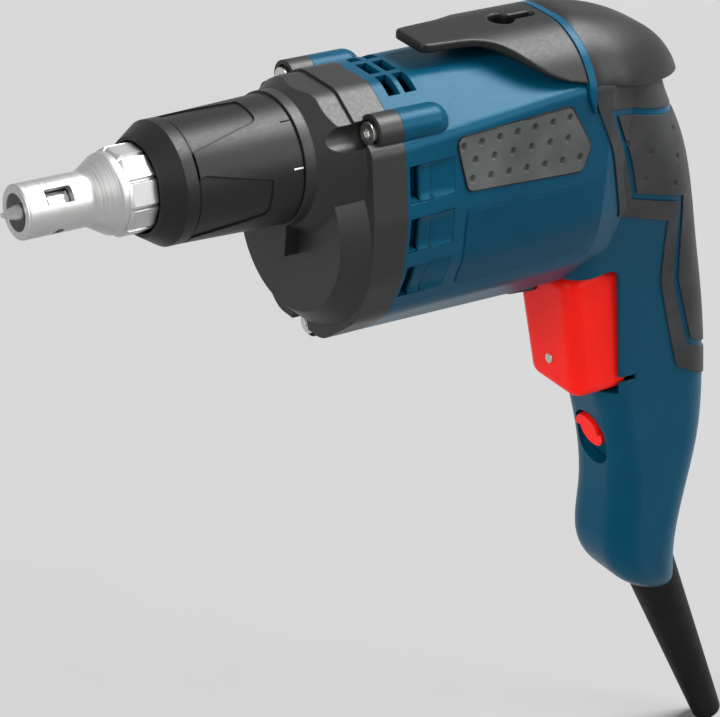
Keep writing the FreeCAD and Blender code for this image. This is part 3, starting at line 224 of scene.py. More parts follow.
class DriverDetails(bpy.types.PropertyGroup):
    """Sizes of the moulded and painted details."""

    dimple_radius: FloatProperty(
        name="Dimple radius", description="Radius of a dimple at the pad's face", unit="LENGTH",
        default=1.45 * mm)
    dimple_depth: FloatProperty(
        name="Dimple depth", description="Depth of a dimple below the pad's face", unit="LENGTH",
        default=1.05 * mm)
    grip_dimple_radius: FloatProperty(
        name="Grip dimple radius", description="Radius of a dimple in the grip pad", unit="LENGTH",
        default=1.5 * mm)
    grip_dimple_depth: FloatProperty(
        name="Grip dimple depth", description="Depth of a dimple in the grip pad", unit="LENGTH",
        default=0.55 * mm)
    shadow_rim_width: FloatProperty(
        name="Seam width", description="Width of the dark seam round a side pad", unit="LENGTH",
        default=0.55 * mm)
    hook_voxel: FloatProperty(
        name="Hook mesh size", description="Mesh size on which the hook's edges are rounded", unit="LENGTH",
        default=0.4 * mm)
    hook_rounding: IntProperty(
        name="Hook rounding", description="How many times the hook's edges are smoothed", default=14, min=0)
    ledge_rise: FloatProperty(
        name="Ledge rise", description="How far the thumb ledge stands off the lock button", unit="LENGTH",
        default=1.5 * mm)
    ledge_height: FloatProperty(
        name="Ledge height", description="How far above the button's middle the ledge starts", unit="LENGTH",
        default=1.0 * mm)
    plate_thickness: FloatProperty(
        name="Plate thickness", description="How far the bare plate stands off the housing", unit="LENGTH",
        default=0.36 * mm)
    plate_corner: FloatProperty(
        name="Plate corner", description="Corner radius of the bare plate", unit="LENGTH", default=2.0 * mm)
    low_mark: FloatProperty(
        name="Low mark", description="Turn of the pale index mark up from the left side", subtype="ANGLE",
        default=math.radians(15.0))
    high_mark: FloatProperty(
        name="High mark", description="Turn of the dark index mark up from the left side", subtype="ANGLE",
        default=math.radians(58.0))
    mark_length: FloatProperty(
        name="Mark length", description="Length of an index mark along the tool", unit="LENGTH",
        default=3.6 * mm)
    mark_width: FloatProperty(
        name="Mark width", description="Width of an index mark", unit="LENGTH", default=0.55 * mm)


class DriverStage(bpy.types.PropertyGroup):
    """Camera, lamps and floor."""

    azimuth: FloatProperty(
        name="Azimuth", description="Turn of the camera round the tool", subtype="ANGLE",
        default=math.radians(-37.23))
    elevation: FloatProperty(
        name="Elevation", description="Height of the camera as an angle", subtype="ANGLE",
        default=math.radians(27.82))
    roll: FloatProperty(
        name="Roll", description="Tilt of the picture", subtype="ANGLE", default=math.radians(4.8))
    place: FloatVectorProperty(
        name="Camera place", description="Where the camera stands", subtype="XYZ", unit="LENGTH",
        default=(-0.4037, -0.7134, 0.3878))
    lens: FloatProperty(
        name="Lens", description="Focal length in millimetres", subtype="DISTANCE_CAMERA", default=145.0)
    sensor: FloatProperty(
        name="Sensor", description="Width of the picture sensor in millimetres", subtype="DISTANCE_CAMERA",
        default=36.0)
    near_clip: FloatProperty(
        name="Near clip", description="Nearest distance that the camera shows", unit="LENGTH", default=0.01)
    floor_size: FloatProperty(
        name="Floor size", description="Side of the floor", unit="LENGTH", default=12.0)
    floor_middle: FloatProperty(
        name="Floor middle", description="Where the floor's middle is along the tool", unit="LENGTH",
        default=0.15)
    floor_gap: FloatProperty(
        name="Floor gap", description="Space between the tool and the floor", unit="LENGTH", default=0.5 * mm)
    key_light: FloatProperty(
        name="Key light", description="Strength of the soft light from the nose's side", default=2.8)
    top_light: FloatProperty(
        name="Top light", description="Strength of the soft light over the housing", default=6.4)
    side_light: FloatProperty(
        name="Side light", description="Strength of the soft light beside the cap", default=1.5)
    key_from: FloatVectorProperty(
        name="Key direction", description="Where the key light comes from", subtype="DIRECTION",
        default=(-1.5, -0.38, 0.58))
    top_from: FloatVectorProperty(
        name="Top direction", description="Where the top light comes from", subtype="DIRECTION",
        default=(0.62, -0.04, 0.95))
    side_from: FloatVectorProperty(
        name="Side direction", description="Where the side light comes from", subtype="DIRECTION",
        default=(0.62, -0.68, 0.42))
    top_width: FloatProperty(
        name="Top light width", description="How wide the top light looks from the tool", subtype="ANGLE",
        default=math.radians(34.0))
    side_width: FloatProperty(
        name="Side light width", description="How wide the other lights look from the tool", subtype="ANGLE",
        default=math.radians(30.0))
    room: FloatProperty(
        name="Room light", description="Strength of the even light of the room", default=0.2)
    backdrop: FloatProperty(
        name="Backdrop", description="How pale the room looks, also in reflections", default=0.55)
    floor_tone: FloatProperty(
        name="Floor tone", description="How pale the floor's paint is", default=0.275)


def shade(colour, factor):
    """A darker or lighter share of a colour."""
    return tuple(min(1.0, part * factor) for part in colour)


class Finish:
    """A material in the making, with the node steps that the finishes share."""

    def __init__(self, name, roughness, specular=0.5, metallic=0.0):
        self.material = bpy.data.materials.new(name)
        self.material.use_nodes = True
        self.tree = self.material.node_tree
        self.shader = self.tree.nodes["Principled BSDF"]
        self.coords = self.tree.nodes.new("ShaderNodeTexCoord").outputs["Object"]
        self.shader.inputs["Roughness"].default_value = roughness
        self.shader.inputs["Specular IOR Level"].default_value = specular
        self.shader.inputs["Metallic"].default_value = metallic

    def add(self, kind, **settings):
        step = self.tree.nodes.new(kind)
        for key, value in settings.items():
            setattr(step, key, value)
        return step

    def link(self, output, target):
        self.tree.links.new(output, target)

    def stretched(self, scale):
        mapping = self.add("ShaderNodeMapping")
        mapping.inputs["Scale"].default_value = scale
        self.link(self.coords, mapping.inputs["Vector"])
        return mapping.outputs["Vector"]

    def noise(self, scale, detail, vector=None):
        step = self.add("ShaderNodeTexNoise")
        step.inputs["Scale"].default_value = scale
        step.inputs["Detail"].default_value = detail
        self.link(vector or self.coords, step.inputs["Vector"])
        return step.outputs[0]

    def bands(self, scale, direction, distortion):
        step = self.add("ShaderNodeTexWave", bands_direction=direction)
        step.inputs["Scale"].default_value = scale
        step.inputs["Distortion"].default_value = distortion
        self.link(self.coords, step.inputs["Vector"])
        return step.outputs["Fac"]

    def spread(self, value, low, high, start=0.3, stop=0.7):
        step = self.add("ShaderNodeMapRange")
        step.inputs["From Min"].default_value = start
        step.inputs["From Max"].default_value = stop
        step.inputs["To Min"].default_value = low
        step.inputs["To Max"].default_value = high
        self.link(value, step.inputs["Value"])
        return step.outputs["Result"]

    def uneven(self, value, level, below, above):
        """A level that goes from a little below itself to a little above."""
        return self.spread(value, low=level - below, high=level + above)

    def tint(self, factor, dark, light):
        """A mix of two colours, each a colour or a step's output."""
        step = self.add("ShaderNodeMix", data_type="RGBA")
        self.link(factor, step.inputs[0])
        for socket, colour in ((step.inputs[mix_dark], dark), (step.inputs[mix_light], light)):
            if isinstance(colour, bpy.types.NodeSocket):
                self.link(colour, socket)
            else:
                socket.default_value = (*colour, 1.0)
        return step.outputs[mix_result]

    def shades(self, factor, colour, low, high):
        """A colour that goes from a darker to a lighter share of itself."""
        return self.tint(factor, shade(colour, low), shade(colour, high))

    def bump(self, height, distance, strength, base=None):
        step = self.add("ShaderNodeBump")
        step.inputs["Distance"].default_value = distance
        step.inputs["Strength"].default_value = strength
        self.link(height, step.inputs["Height"])
        if base:
            self.link(base, step.inputs["Normal"])
        return step.outputs["Normal"]

    def soft_edge(self, radius):
        step = self.add("ShaderNodeBevel", samples=4)
        step.inputs["Radius"].default_value = radius
        return step.outputs["Normal"]

    def wear(self, rounded, start, stop):
        """How sharp the edge at a point is, from 0 on an open face to 1."""
        flat = self.add("ShaderNodeNewGeometry").outputs["Normal"]
        meet = self.add("ShaderNodeVectorMath", operation="DOT_PRODUCT")
        self.link(rounded, meet.inputs[0])
        self.link(flat, meet.inputs[1])
        return self.spread(meet.outputs["Value"], low=1.0, high=0.0, start=start, stop=stop)

    def crease_shade(self, reach):
        """How deep a point lies in a crease of its own piece, from 0 on an open face to 1: where shade is
        painted.
        """
        step = self.add("ShaderNodeAmbientOcclusion", samples=8, only_local=True)
        step.inputs["Distance"].default_value = reach
        return self.spread(step.outputs["AO"], low=1.0, high=0.0, start=0.4, stop=0.92)

    def plus_share(self, value, extra, share):
        step = self.add("ShaderNodeMath", operation="MULTIPLY_ADD")
        step.inputs[1].default_value = share
        self.link(extra, step.inputs[0])
        self.link(value, step.inputs[2])
        return step.outputs["Value"]

    def use(self, socket, output):
        self.link(output, self.shader.inputs[socket])


def moulded(name, colour, roughness, specular, grain, depth, edge, rub):
    """Moulded plastic: spark-textured skin, edges rubbed a little lighter, flow marks, creases duller and
    painted darker as shade.
    """
    finish = Finish(name, roughness, specular)
    flow = finish.spread(finish.noise(scale=42.0, detail=3.0), low=0.25, high=0.75)
    grains = finish.noise(scale=speckle_fineness / grain, detail=1.0)
    speckle = finish.spread(grains, low=0.0, high=1.0, start=0.35, stop=0.65)
    dull = finish.shades(speckle, colour, low=0.82, high=0.96)
    bright = finish.shades(speckle, colour, low=1.0, high=1.2)
    body = finish.tint(flow, dull, bright)
    rounded = finish.soft_edge(edge)
    worn = finish.wear(rounded, start=0.86, stop=0.995)
    rubbed = finish.spread(worn, low=0.0, high=rub, start=0.0, stop=1.0)
    pale = tuple(part * edge_gain + edge_lift for part in colour)
    # Creases of a piece are painted darker as shade, and made rougher
    crease_shade = finish.crease_shade(crease_reach)
    finish.use("Base Color", finish.tint(crease_shade, finish.tint(rubbed, body, pale), shade(colour, crease_shade_share)))
    skin = finish.noise(scale=1.0 / grain, detail=2.0)
    patch = finish.noise(scale=900.0, detail=2.0)
    gloss = finish.uneven(patch, roughness, below=0.03, above=0.04)
    finish.use("Roughness", finish.plus_share(gloss, crease_shade, share=0.4))
    finish.use("Normal", finish.bump(skin, distance=depth, strength=0.7, base=rounded))
    return finish.material


def rubber(name, colour, roughness, grain):
    """Soft rubber: dull, finely grained, with a little dust."""
    finish = Finish(name, roughness, specular=0.08)
    dust = finish.spread(finish.noise(scale=70.0, detail=5.0), low=0.0, high=1.0)
    finish.use("Base Color", finish.shades(dust, colour, low=0.85, high=1.3))
    patch = finish.noise(scale=300.0, detail=3.0)
    finish.use("Roughness", finish.uneven(patch, roughness, below=0.05, above=0.07))
    skin = finish.noise(scale=1.0 / grain, detail=3.0)
    rounded = finish.soft_edge(radius=0.35 * mm)
    finish.use("Normal", finish.bump(skin, distance=0.05 * mm, strength=0.8, base=rounded))
    return finish.material


def turned_metal(name, colour, roughness, lines, edge):
    """Metal turned on a lathe along the tool: fine rings, satin shine, small scuffs."""
    finish = Finish(name, roughness, metallic=1.0)
    across = lines / ring_stretch
    rings = finish.noise(scale=1.0, detail=3.0, vector=finish.stretched((lines, across, across)))
    scuffs = finish.spread(finish.noise(scale=160.0, detail=6.0), low=0.0, high=1.0, start=0.35, stop=0.75)
    finish.use("Base Color", finish.shades(scuffs, colour, low=0.94, high=1.04))
    finish.use("Roughness", finish.uneven(rings, roughness, below=0.06, above=0.08))
    finish.use("Normal", finish.bump(rings, distance=0.012 * mm, strength=0.5, base=finish.soft_edge(edge)))
    return finish.material


def plain_metal(name, colour, roughness, grain):
    """Metal without a grain direction: cast, sintered or plated, with a faint speckle."""
    finish = Finish(name, roughness, metallic=1.0)
    speckle = finish.spread(finish.noise(scale=1.0 / grain, detail=3.0), low=0.0, high=1.0)
    finish.use("Base Color", finish.shades(speckle, colour, low=0.88, high=1.06))
    patch = finish.noise(scale=200.0, detail=4.0)
    finish.use("Roughness", finish.uneven(patch, roughness, below=0.06, above=0.1))
    rounded = finish.soft_edge(radius=0.2 * mm)
    finish.use("Normal", finish.bump(speckle, distance=0.01 * mm, strength=0.5, base=rounded))
    return finish.material


def stacked_plates(name, colour):
    """Stack of thin steel plates: fine lines across the tool's length."""
    finish = Finish(name, roughness=0.42, metallic=1.0)
    plates = finish.bands(scale=320.0, direction="X", distortion=0.2)
    finish.use("Base Color", finish.shades(plates, colour, low=0.55, high=1.0))
    finish.use("Normal", finish.bump(plates, distance=0.05 * mm, strength=0.7))
    return finish.material


def wound_wire(name, colour):
    """Enamelled copper wire laid side by side."""
    finish = Finish(name, roughness=0.3, metallic=1.0)
    wires = finish.bands(scale=260.0, direction="DIAGONAL", distortion=0.6)
    finish.use("Base Color", finish.shades(wires, colour, low=0.45, high=1.0))
    finish.use("Normal", finish.bump(wires, distance=0.15 * mm, strength=0.9))
    return finish.material


def painted(name, colour, roughness):
    """Thin coat of paint or film with a slightly uneven gloss."""
    finish = Finish(name, roughness, specular=0.08)
    patch = finish.spread(finish.noise(scale=90.0, detail=4.0), low=0.0, high=1.0)
    finish.use("Base Color", finish.shades(patch, colour, low=0.96, high=1.05))
    gloss = finish.noise(scale=350.0, detail=3.0)
    finish.use("Roughness", finish.uneven(gloss, roughness, below=0.04, above=0.05))
    skin = finish.noise(scale=900.0, detail=2.0)
    rounded = finish.soft_edge(radius=0.25 * mm)
    finish.use("Normal", finish.bump(skin, distance=0.004 * mm, strength=0.5, base=rounded))
    return finish.material


def floor_paint(colour):
    """Even studio floor with a very faint fleck."""
    finish = Finish("floor_paint", roughness=0.7, specular=0.2)
    fleck = finish.spread(finish.noise(scale=30.0, detail=2.0), low=0.0, high=1.0)
    finish.use("Base Color", finish.shades(fleck, colour, low=0.995, high=1.005))
    return finish.material


def tint_gloss(material, tint):
    """Colours a finish's soft reflections, as deep-coloured plastic does."""
    shader = material.node_tree.nodes["Principled BSDF"]
    shader.inputs["Specular Tint"].default_value = (*tint, 1.0)


def coat(names, material):
    """Gives the named pieces one finish."""
    for name in names:
        held = nodes[name].data.materials
        held.clear()
        held.append(material)


def known_material(name):
    """Finish that an earlier step has made."""
    material = bpy.data.materials.get(name)
    if material is None:
        raise RuntimeError("the finish " + name + " has not been made yet")
    return material


def skin_of(*names):
    """Surface of the named pieces, for finding where a detail sits."""
    points = []
    faces = []
    for name in names:
        mesh = nodes[name].data
        start = len(points)
        points.extend(vertex.co.copy() for vertex in mesh.vertices)
        faces.extend([start + index for index in face.vertices] for face in mesh.polygons)
    return BVHTree.FromPolygons(points, faces)


def touch(skin, origin, direction):
    """Point where a ray meets a skin, and the skin's outward normal there."""
    point, normal = skin.ray_cast(origin, direction)[:2]
    if point is None:
        raise RuntimeError("a detail finds no surface to sit on")
    if normal.dot(direction) > 0.0:
        normal.negate()
    return point, normal


def smooth(mesh):
    """Shades a mesh smoothly."""
    mesh.polygons.foreach_set("use_smooth", [True] * len(mesh.polygons))


def new_object(name, shape):
    """Object at the origin with a shape as its mesh."""
    mesh = bpy.data.meshes.new(name)
    shape.to_mesh(mesh)
    shape.free()
    made = bpy.data.objects.new(name, mesh)
    bpy.context.scene.collection.objects.link(made)
    return made


def new_piece(name, shape, material, body):
    """Piece of the tool that moves with a body."""
    piece = new_object(name, shape)
    piece.data.materials.append(material)
    smooth(piece.data)
    piece.data.set_sharp_from_angle(angle=smooth_angle)
    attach(piece, body)
    return piece


def welded_copy(node):
    """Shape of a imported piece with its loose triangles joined."""
    shape = bmesh.new()
    shape.from_mesh(nodes[node].data)
    bmesh.ops.remove_doubles(shape, verts=shape.verts, dist=weld_reach)
    return shape


def settle(piece):
    """Applies a piece's modifiers to its mesh."""
    seen = piece.evaluated_get(bpy.context.evaluated_depsgraph_get())
    settled = bpy.data.meshes.new_from_object(seen)
    piece.modifiers.clear()
    piece.data = settled
    smooth(settled)
    return settled


def smooth_normals(node):
    """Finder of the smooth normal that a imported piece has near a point."""
    mesh = nodes[node].data
    skin = skin_of(node)
    turns = [corner.vector.copy() for corner in mesh.corner_normals]

    def normal_at(point):
        place, _, face, _ = skin.find_nearest(point)
        corners = mesh.polygons[face].loop_indices
        points = [mesh.vertices[mesh.loops[corner].vertex_index].co for corner in corners]
        blend = Vector()
        for share, corner in zip(poly_3d_calc(points, place), corners):
            blend += turns[corner] * share
        return blend.normalized()

    return normal_at


def rounded_face(shape, corners, radius):
    """Flat face square to Y with its corners rounded to a radius."""
    face = shape.faces.new([shape.verts.new((x * mm, 0.0, z * mm)) for x, z in corners])
    reaches = [(corner.vert, radius / math.tan(corner.calc_angle() / 2.0)) for corner in face.loops]
    for vertex, reach in reaches:
        bmesh.ops.bevel(shape, geom=[vertex], offset=reach, segments=corner_steps, profile=0.5,
                        affect="VERTICES", material=-1)
    return shape.faces[:]


def cut_across(shape, place, across, **choices):
    """Cuts a whole shape along a plane."""
    whole = shape.verts[:] + shape.edges[:] + shape.faces[:]
    return bmesh.ops.bisect_plane(shape, geom=whole, plane_co=place, plane_no=across, **choices)


def cut_grid(shape, pitch):
    """Cuts across X and Z at an even pitch, so that a flat face can follow a curved skin."""
    for axis in (Vector((1.0, 0.0, 0.0)), Vector((0.0, 0.0, 1.0))):
        places = [vertex.co.dot(axis) for vertex in shape.verts]
        for step in range(1, math.ceil((max(places) - min(places)) / pitch)):
            cut_across(shape, axis * (min(places) + step * pitch), axis)


def ball_tool(name, places, centres, radius):
    """Object made of one ball for each dimple, turned to the pad's face."""
    shape = bmesh.new()
    for centre, (_, normal) in zip(centres, places):
        turn = normal.to_track_quat("Z", "Y").to_matrix().to_4x4()
        bmesh.ops.create_uvsphere(shape, u_segments=ball_segments, v_segments=ball_rings, radius=radius,
                                  matrix=Matrix.Translation(centre) @ turn)
    return new_object(name, shape)


def shade_dimples(pressed, node, centres, radius):
    """Gives a pressed pad the smooth normals of its node, and each dimple those of its ball."""
    normal_at = smooth_normals(node)
    normals = [None] * len(pressed.loops)
    for face in pressed.polygons:
        corners = [(corner, pressed.vertices[pressed.loops[corner].vertex_index].co)
                   for corner in face.loop_indices]
        hollow = next((centre for centre in centres
                       if all((point - centre).length < radius * ball_slack for _, point in corners)), None)
        for corner, point in corners:
            if hollow is None:
                normals[corner] = normal_at(point.lerp(face.center, corner_pull))
            else:
                normals[corner] = (hollow - point).normalized()
    pressed.normals_split_custom_set(normals)


def dimpled(name, node, places, radius, depth, material, body):
    """Replaces a pad by a copy with a round dimple pressed in at each place."""
    piece = new_piece(name, welded_copy(node), material, body)
    ball = (radius * radius + depth * depth) / (2.0 * depth)
    centres = [point + normal * (ball - depth) for point, normal in places]
    tool = ball_tool(name + "_balls", places, centres, ball)
    press = piece.modifiers.new("dimples", "BOOLEAN")
    press.operation = "DIFFERENCE"
    press.solver = "EXACT"
    press.object = tool
    piece.modifiers.new("triangles", "TRIANGULATE")
    pressed = settle(piece)
    bpy.data.objects.remove(tool)
    shade_dimples(pressed, node, centres, ball)
    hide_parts(node)


class DRIVER_OT_shells(bpy.types.Operator):
    """Coat the two housing shells in blue moulded plastic"""

    bl_idname = "driver.shells"
    bl_label = "Housing shells"

    def execute(self, context):
        colours = context.scene.driver_colours
        material = moulded(
            "blue_moulding", colours.shell, roughness=0.33, specular=0.12, grain=0.55 * mm, depth=0.03 * mm,
            edge=0.45 * mm, rub=0.25)
        tint_gloss(material, colours.gloss)
        coat(blue_shells, material)
        return {"FINISHED"}


class DRIVER_OT_covers(bpy.types.Operator):
    """Coat the cap, hook, collar and gear case in their dark finishes"""

    bl_idname = "driver.covers"
    bl_label = "Dark covers"

    def execute(self, context):
        colours = context.scene.driver_colours
        coat(dark_covers, moulded(
            "dark_moulding", colours.cover, roughness=0.43, specular=0.24, grain=0.45 * mm, depth=0.04 * mm,
            edge=0.4 * mm, rub=0.3))
        coat(cast_covers, moulded(
            "painted_casting", colours.case, roughness=0.44, specular=0.3, grain=0.5 * mm, depth=0.04 * mm,
            edge=0.6 * mm, rub=0.15))
        coat(("direction_lever",), moulded(
            "lever_moulding", shade(colours.cover, lever_share), roughness=0.34, specular=0.5, grain=0.3 * mm,
            depth=0.015 * mm, edge=0.3 * mm, rub=0.2))
        return {"FINISHED"}


class DRIVER_OT_grips(bpy.types.Operator):
    """Coat the grip band and the cord sleeve in soft rubber"""

    bl_idname = "driver.grips"
    bl_label = "Soft grips"

    def execute(self, context):
        colours = context.scene.driver_colours
        coat(("grip_band",), rubber("soft_rubber", colours.grip, roughness=0.5, grain=0.35 * mm))
        coat(("cord_sleeve",), rubber("sleeve_rubber", colours.sleeve, roughness=0.5, grain=0.3 * mm))
        return {"FINISHED"}


class DRIVER_OT_side_pads(bpy.types.Operator):
    """Press rows of dimples into the two side pads"""

    bl_idname = "driver.side_pads"
    bl_label = "Side pads"

    def execute(self, context):
        details = context.scene.driver_details
        soft = rubber("pad_rubber", context.scene.driver_colours.pad, roughness=0.5, grain=0.3 * mm)
        for node, side in pad_sides:
            skin = skin_of(node)
            far = Vector((0.0, side, 0.0))
            places = []
            for start, end, count in dimple_rows:
                for step in range(count):
                    spot = Vector(start).lerp(Vector(end), step / (count - 1)) * mm
                    places.append(touch(skin, Vector((spot.x, 0.0, spot.y)) + far, -far))
            dimpled(node + "_dimpled", node, places, details.dimple_radius, details.dimple_depth, soft,
                    "housing")
        return {"FINISHED"}


class DRIVER_OT_grip_pad(bpy.types.Operator):
    """Press shallow dimples round the grip pad at the back of the handle"""

    bl_idname = "driver.grip_pad"
    bl_label = "Grip pad"

    def execute(self, context):
        details = context.scene.driver_details
        skin = skin_of("grip_pad")
        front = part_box("grip_pad")[0].x
        places = []
        for row in range(grip_rows):
            height = grip_row_top * mm - row * grip_row_pitch * mm
            for column in range(-grip_columns, grip_columns + 1):
                if (row + column) % 2:
                    continue
                turn = grip_column_turn * column
                out = Vector((math.cos(turn), math.sin(turn), 0.0))
                origin = Vector((front, 0.0, height)) + out * tool_clear
                point, normal = skin.ray_cast(origin, -out)[:2]
                if point is not None:
                    places.append((point, normal if normal.dot(out) > 0.0 else -normal))
        if not places:
            raise RuntimeError("no dimple finds the grip pad")
        dimpled("grip_pad_dimpled", "grip_pad", places, details.grip_dimple_radius, details.grip_dimple_depth,
                known_material("soft_rubber"), "housing")
        return {"FINISHED"}


class DRIVER_OT_pad_shadow_rims(bpy.types.Operator):
    """Lay a dark rim round each side pad, a painted shadow of the gap round it"""

    bl_idname = "driver.pad_seams"
    bl_label = "Pad seams"

    def execute(self, context):
        details = context.scene.driver_details
        for node, side in pad_sides:
            skin = skin_of(node, "motor_housing")
            shape = bmesh.new()
            inner = rounded_face(shape, pad_corners, pad_corner * mm)
            low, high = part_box(node)
            middle = (low + high) / 2.0
            size = high - low
            stretch = (1.0 + 2.0 * details.shadow_rim_width / size.x, 1.0, 1.0 + 2.0 * details.shadow_rim_width / size.z)
            bmesh.ops.scale(shape, verts=shape.verts[:], vec=stretch, space=Matrix.Translation(-middle))
            bmesh.ops.inset_region(shape, faces=inner, thickness=shadow_rim_reach * details.shadow_rim_width,
                                   use_even_offset=True, use_boundary=True)
            bmesh.ops.delete(shape, geom=inner, context="FACES_ONLY")
            cut_grid(shape, shadow_rim_cut_pitch * mm)
            outward = Vector((0.0, side, 0.0))
            for vertex in shape.verts:
                vertex.co = touch(skin, vertex.co + outward, -outward)[0] + outward * shadow_rim_lift * mm
            bmesh.ops.recalc_face_normals(shape, faces=shape.faces[:])
            bmesh.ops.solidify(shape, geom=shape.faces[:], thickness=shadow_rim_thickness * mm)
            bmesh.ops.recalc_face_normals(shape, faces=shape.faces[:])
            # This dark rim is painted shadow, standing where the gap round the pad would be in shade
            shadow_rim = new_piece(node + "_seam", shape, known_material("sleeve_rubber"), "housing")
        return {"FINISHED"}


class DRIVER_OT_louvres(bpy.types.Operator):
    """Set a guide blade, an inner vane and a sloping floor into each side vent"""

    bl_idname = "driver.louvres"
    bl_label = "Vent louvres"

    def execute(self, context):
        skin = skin_of("motor_housing")
        for word, side in (("left", -1.0), ("right", 1.0)):
            for index in range(vent_count):
                shape = self.bar((vent_top - index * vent_pitch - vent_height) * mm)
                for vertex in shape.verts:
                    vertex.co.y = self.sunk(skin, side, vertex.co)
                bmesh.ops.recalc_face_normals(shape, faces=shape.faces[:])
                name = "vent_louvre_" + word + "_" + str(index + 1)
                louvre = new_piece(name, shape, known_material("blue_moulding"), "housing")
        return {"FINISHED"}

    def bar(self, bottom):
        """Louvre whose Y is its depth below the housing's skin."""
        shape = bmesh.new()
        section = [shape.verts.new(((vent_front + way) * mm, depth * mm, bottom))
                   for way, depth in louvre_section]
        grown = bmesh.ops.extrude_face_region(shape, geom=[shape.faces.new(section)])
        moved = [part for part in grown["geom"] if isinstance(part, bmesh.types.BMVert)]
        bmesh.ops.translate(shape, verts=moved, vec=(0.0, 0.0, vent_height * mm))
        for step in range(1, louvre_slices):
            height = bottom + vent_height * mm * step / louvre_slices
            cut_across(shape, (0.0, 0.0, height), (0.0, 0.0, 1.0))
        return shape

    def sunk(self, skin, side, place):
        """Y of a point whose own Y is its depth below the housing's skin."""
        edge = (vent_front + vent_length) * mm
        within = edge - panel_margin * mm
        floor_x = max(place.x, (vent_front + vent_slot + slot_margin) * mm)
        floor = self.skin_y(skin, side, min(floor_x, within), place.z)
        low = self.skin_y(skin, side, within, place.z)
        outer = self.skin_y(skin, side, edge + panel_margin * mm, place.z)
        return floor + (outer - low) * (1.0 - place.y / (vent_depth * mm))

    def skin_y(self, skin, side, x, z):
        """Y of the housing's skin on one side of the tool."""
        return touch(skin, Vector((x, side, z)), Vector((0.0, -side, 0.0)))[0].y


class DRIVER_OT_lock_ledge(bpy.types.Operator):
    """Raise the thumb ledge on the upper part of the lock button"""

    bl_idname = "driver.lock_ledge"
    bl_label = "Lock ledge"

    def execute(self, context):
        details = context.scene.driver_details
        press = next(Vector(joint["axis"]) for joint in frame["joints"] if joint["name"] == "lock_press")
        up = press.cross(Vector((0.0, 1.0, 0.0)))
        if up.z < 0.0:
            up.negate()
        low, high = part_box("lock_button")
        middle = (low + high) / 2.0
        face = touch(skin_of("lock_button"), middle - press * piece_clear, press)[0]
        shape = welded_copy("lock_button")
        for place, away in ((face + up * details.ledge_height, -up), (face + press * ledge_root * mm, press)):
            cut = cut_across(shape, place, away, clear_outer=True)
            rim = [part for part in cut["geom_cut"] if isinstance(part, bmesh.types.BMEdge)]
            bmesh.ops.triangle_fill(shape, edges=rim, use_dissolve=True)
        bmesh.ops.translate(shape, verts=shape.verts, vec=-press * details.ledge_rise)
        bmesh.ops.recalc_face_normals(shape, faces=shape.faces[:])
        ledge = new_piece("lock_ledge", shape, known_material("red_moulding"), "lock_button")
        return {"FINISHED"}


class DRIVER_OT_hook(bpy.types.Operator):
    """Round the edges of the belt hook over, as its mould does"""

    bl_idname = "driver.hook"
    bl_label = "Belt hook"

    def execute(self, context):
        details = context.scene.driver_details
        shape = welded_copy("belt_hook")
        hook = new_piece("belt_hook_rounded", shape, known_material("dark_moulding"), "housing")
        remesh = hook.modifiers.new("even_mesh", "REMESH")
        remesh.mode = "VOXEL"
        remesh.voxel_size = details.hook_voxel
        remesh.use_smooth_shade = True
        ease = hook.modifiers.new("rounding", "SMOOTH")
        ease.factor = hook_ease
        ease.iterations = details.hook_rounding
        settle(hook)
        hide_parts("belt_hook")
        return {"FINISHED"}


class DRIVER_OT_plate(bpy.types.Operator):
    """Lay a thin bare plate on the left side of the housing"""

    bl_idname = "driver.plate"
    bl_label = "Bare plate"

    def execute(self, context):
        details = context.scene.driver_details
        colours = context.scene.driver_colours
        skin = skin_of("motor_housing", "rear_shell")
        shape = bmesh.new()
        shape.faces.new([shape.verts.new((x * mm, -tool_clear, z * mm)) for x, z in plate_corners])
        bmesh.ops.bevel(shape, geom=shape.verts[:], offset=details.plate_corner, segments=corner_steps,
                        profile=0.5, affect="VERTICES", material=-1)
        for first, onward in plate_cuts:
            for step in range(plate_cut_count):
                cut_across(shape, (Vector(first) + Vector(onward) * step) * mm, onward)
        toward = Vector((0.0, 1.0, 0.0))
        for vertex in shape.verts:
            vertex.co = touch(skin, vertex.co, toward)[0] - toward * details.plate_thickness
        bmesh.ops.recalc_face_normals(shape, faces=shape.faces[:])
        bmesh.ops.solidify(shape, geom=shape.faces[:], thickness=details.plate_thickness)
        film = painted("plate_film", shade(colours.shell, plate_share), roughness=0.3)
        tint_gloss(film, colours.gloss)
        plate = new_piece("side_plate", shape, film, "housing")
        return {"FINISHED"}


class DRIVER_OT_marks(bpy.types.Operator):
    """Set a pale index mark, and a dark one painted as the shade of a sunk tick, at the rear rim of the depth
    collar
    """

    bl_idname = "driver.marks"
    bl_label = "Index marks"

    def execute(self, context):
        details = context.scene.driver_details
        colours = context.scene.driver_colours
        skin = skin_of("depth_collar")
        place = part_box("depth_collar")[1].x - mark_setback * details.mark_length
        pale = painted("mark_paint", colours.mark, roughness=0.45)
        # The dark mark's colour is painted shade, standing in for the dark wall of a sunk tick
        dark = painted("mark_shadow", shade(colours.cover, mark_shade_share), roughness=0.6)
        along = Vector((1.0, 0.0, 0.0))
        for name, turn, paint in (("index_mark_low", details.low_mark, pale),
                                  ("index_mark_high", details.high_mark, dark)):
            out = Vector((0.0, -math.cos(turn), math.sin(turn)))
            point = touch(skin, Vector((place, 0.0, 0.0)) + out * piece_clear, -out)[0]
            lie = Matrix((along, out.cross(along), out)).transposed().to_4x4()
            rise = details.mark_width * mark_rise
            size = Matrix.Diagonal((details.mark_length, details.mark_width, rise, 1.0))
            shape = bmesh.new()
            bmesh.ops.create_cube(shape, size=1.0, matrix=Matrix.Translation(point) @ lie @ size)
            bmesh.ops.bevel(shape, geom=shape.edges[:], offset=details.mark_width * mark_bevel,
                            segments=mark_bevel_steps, profile=0.5, affect="EDGES", material=-1)
            mark = new_piece(name, shape, paint, "depth_collar")
        return {"FINISHED"}


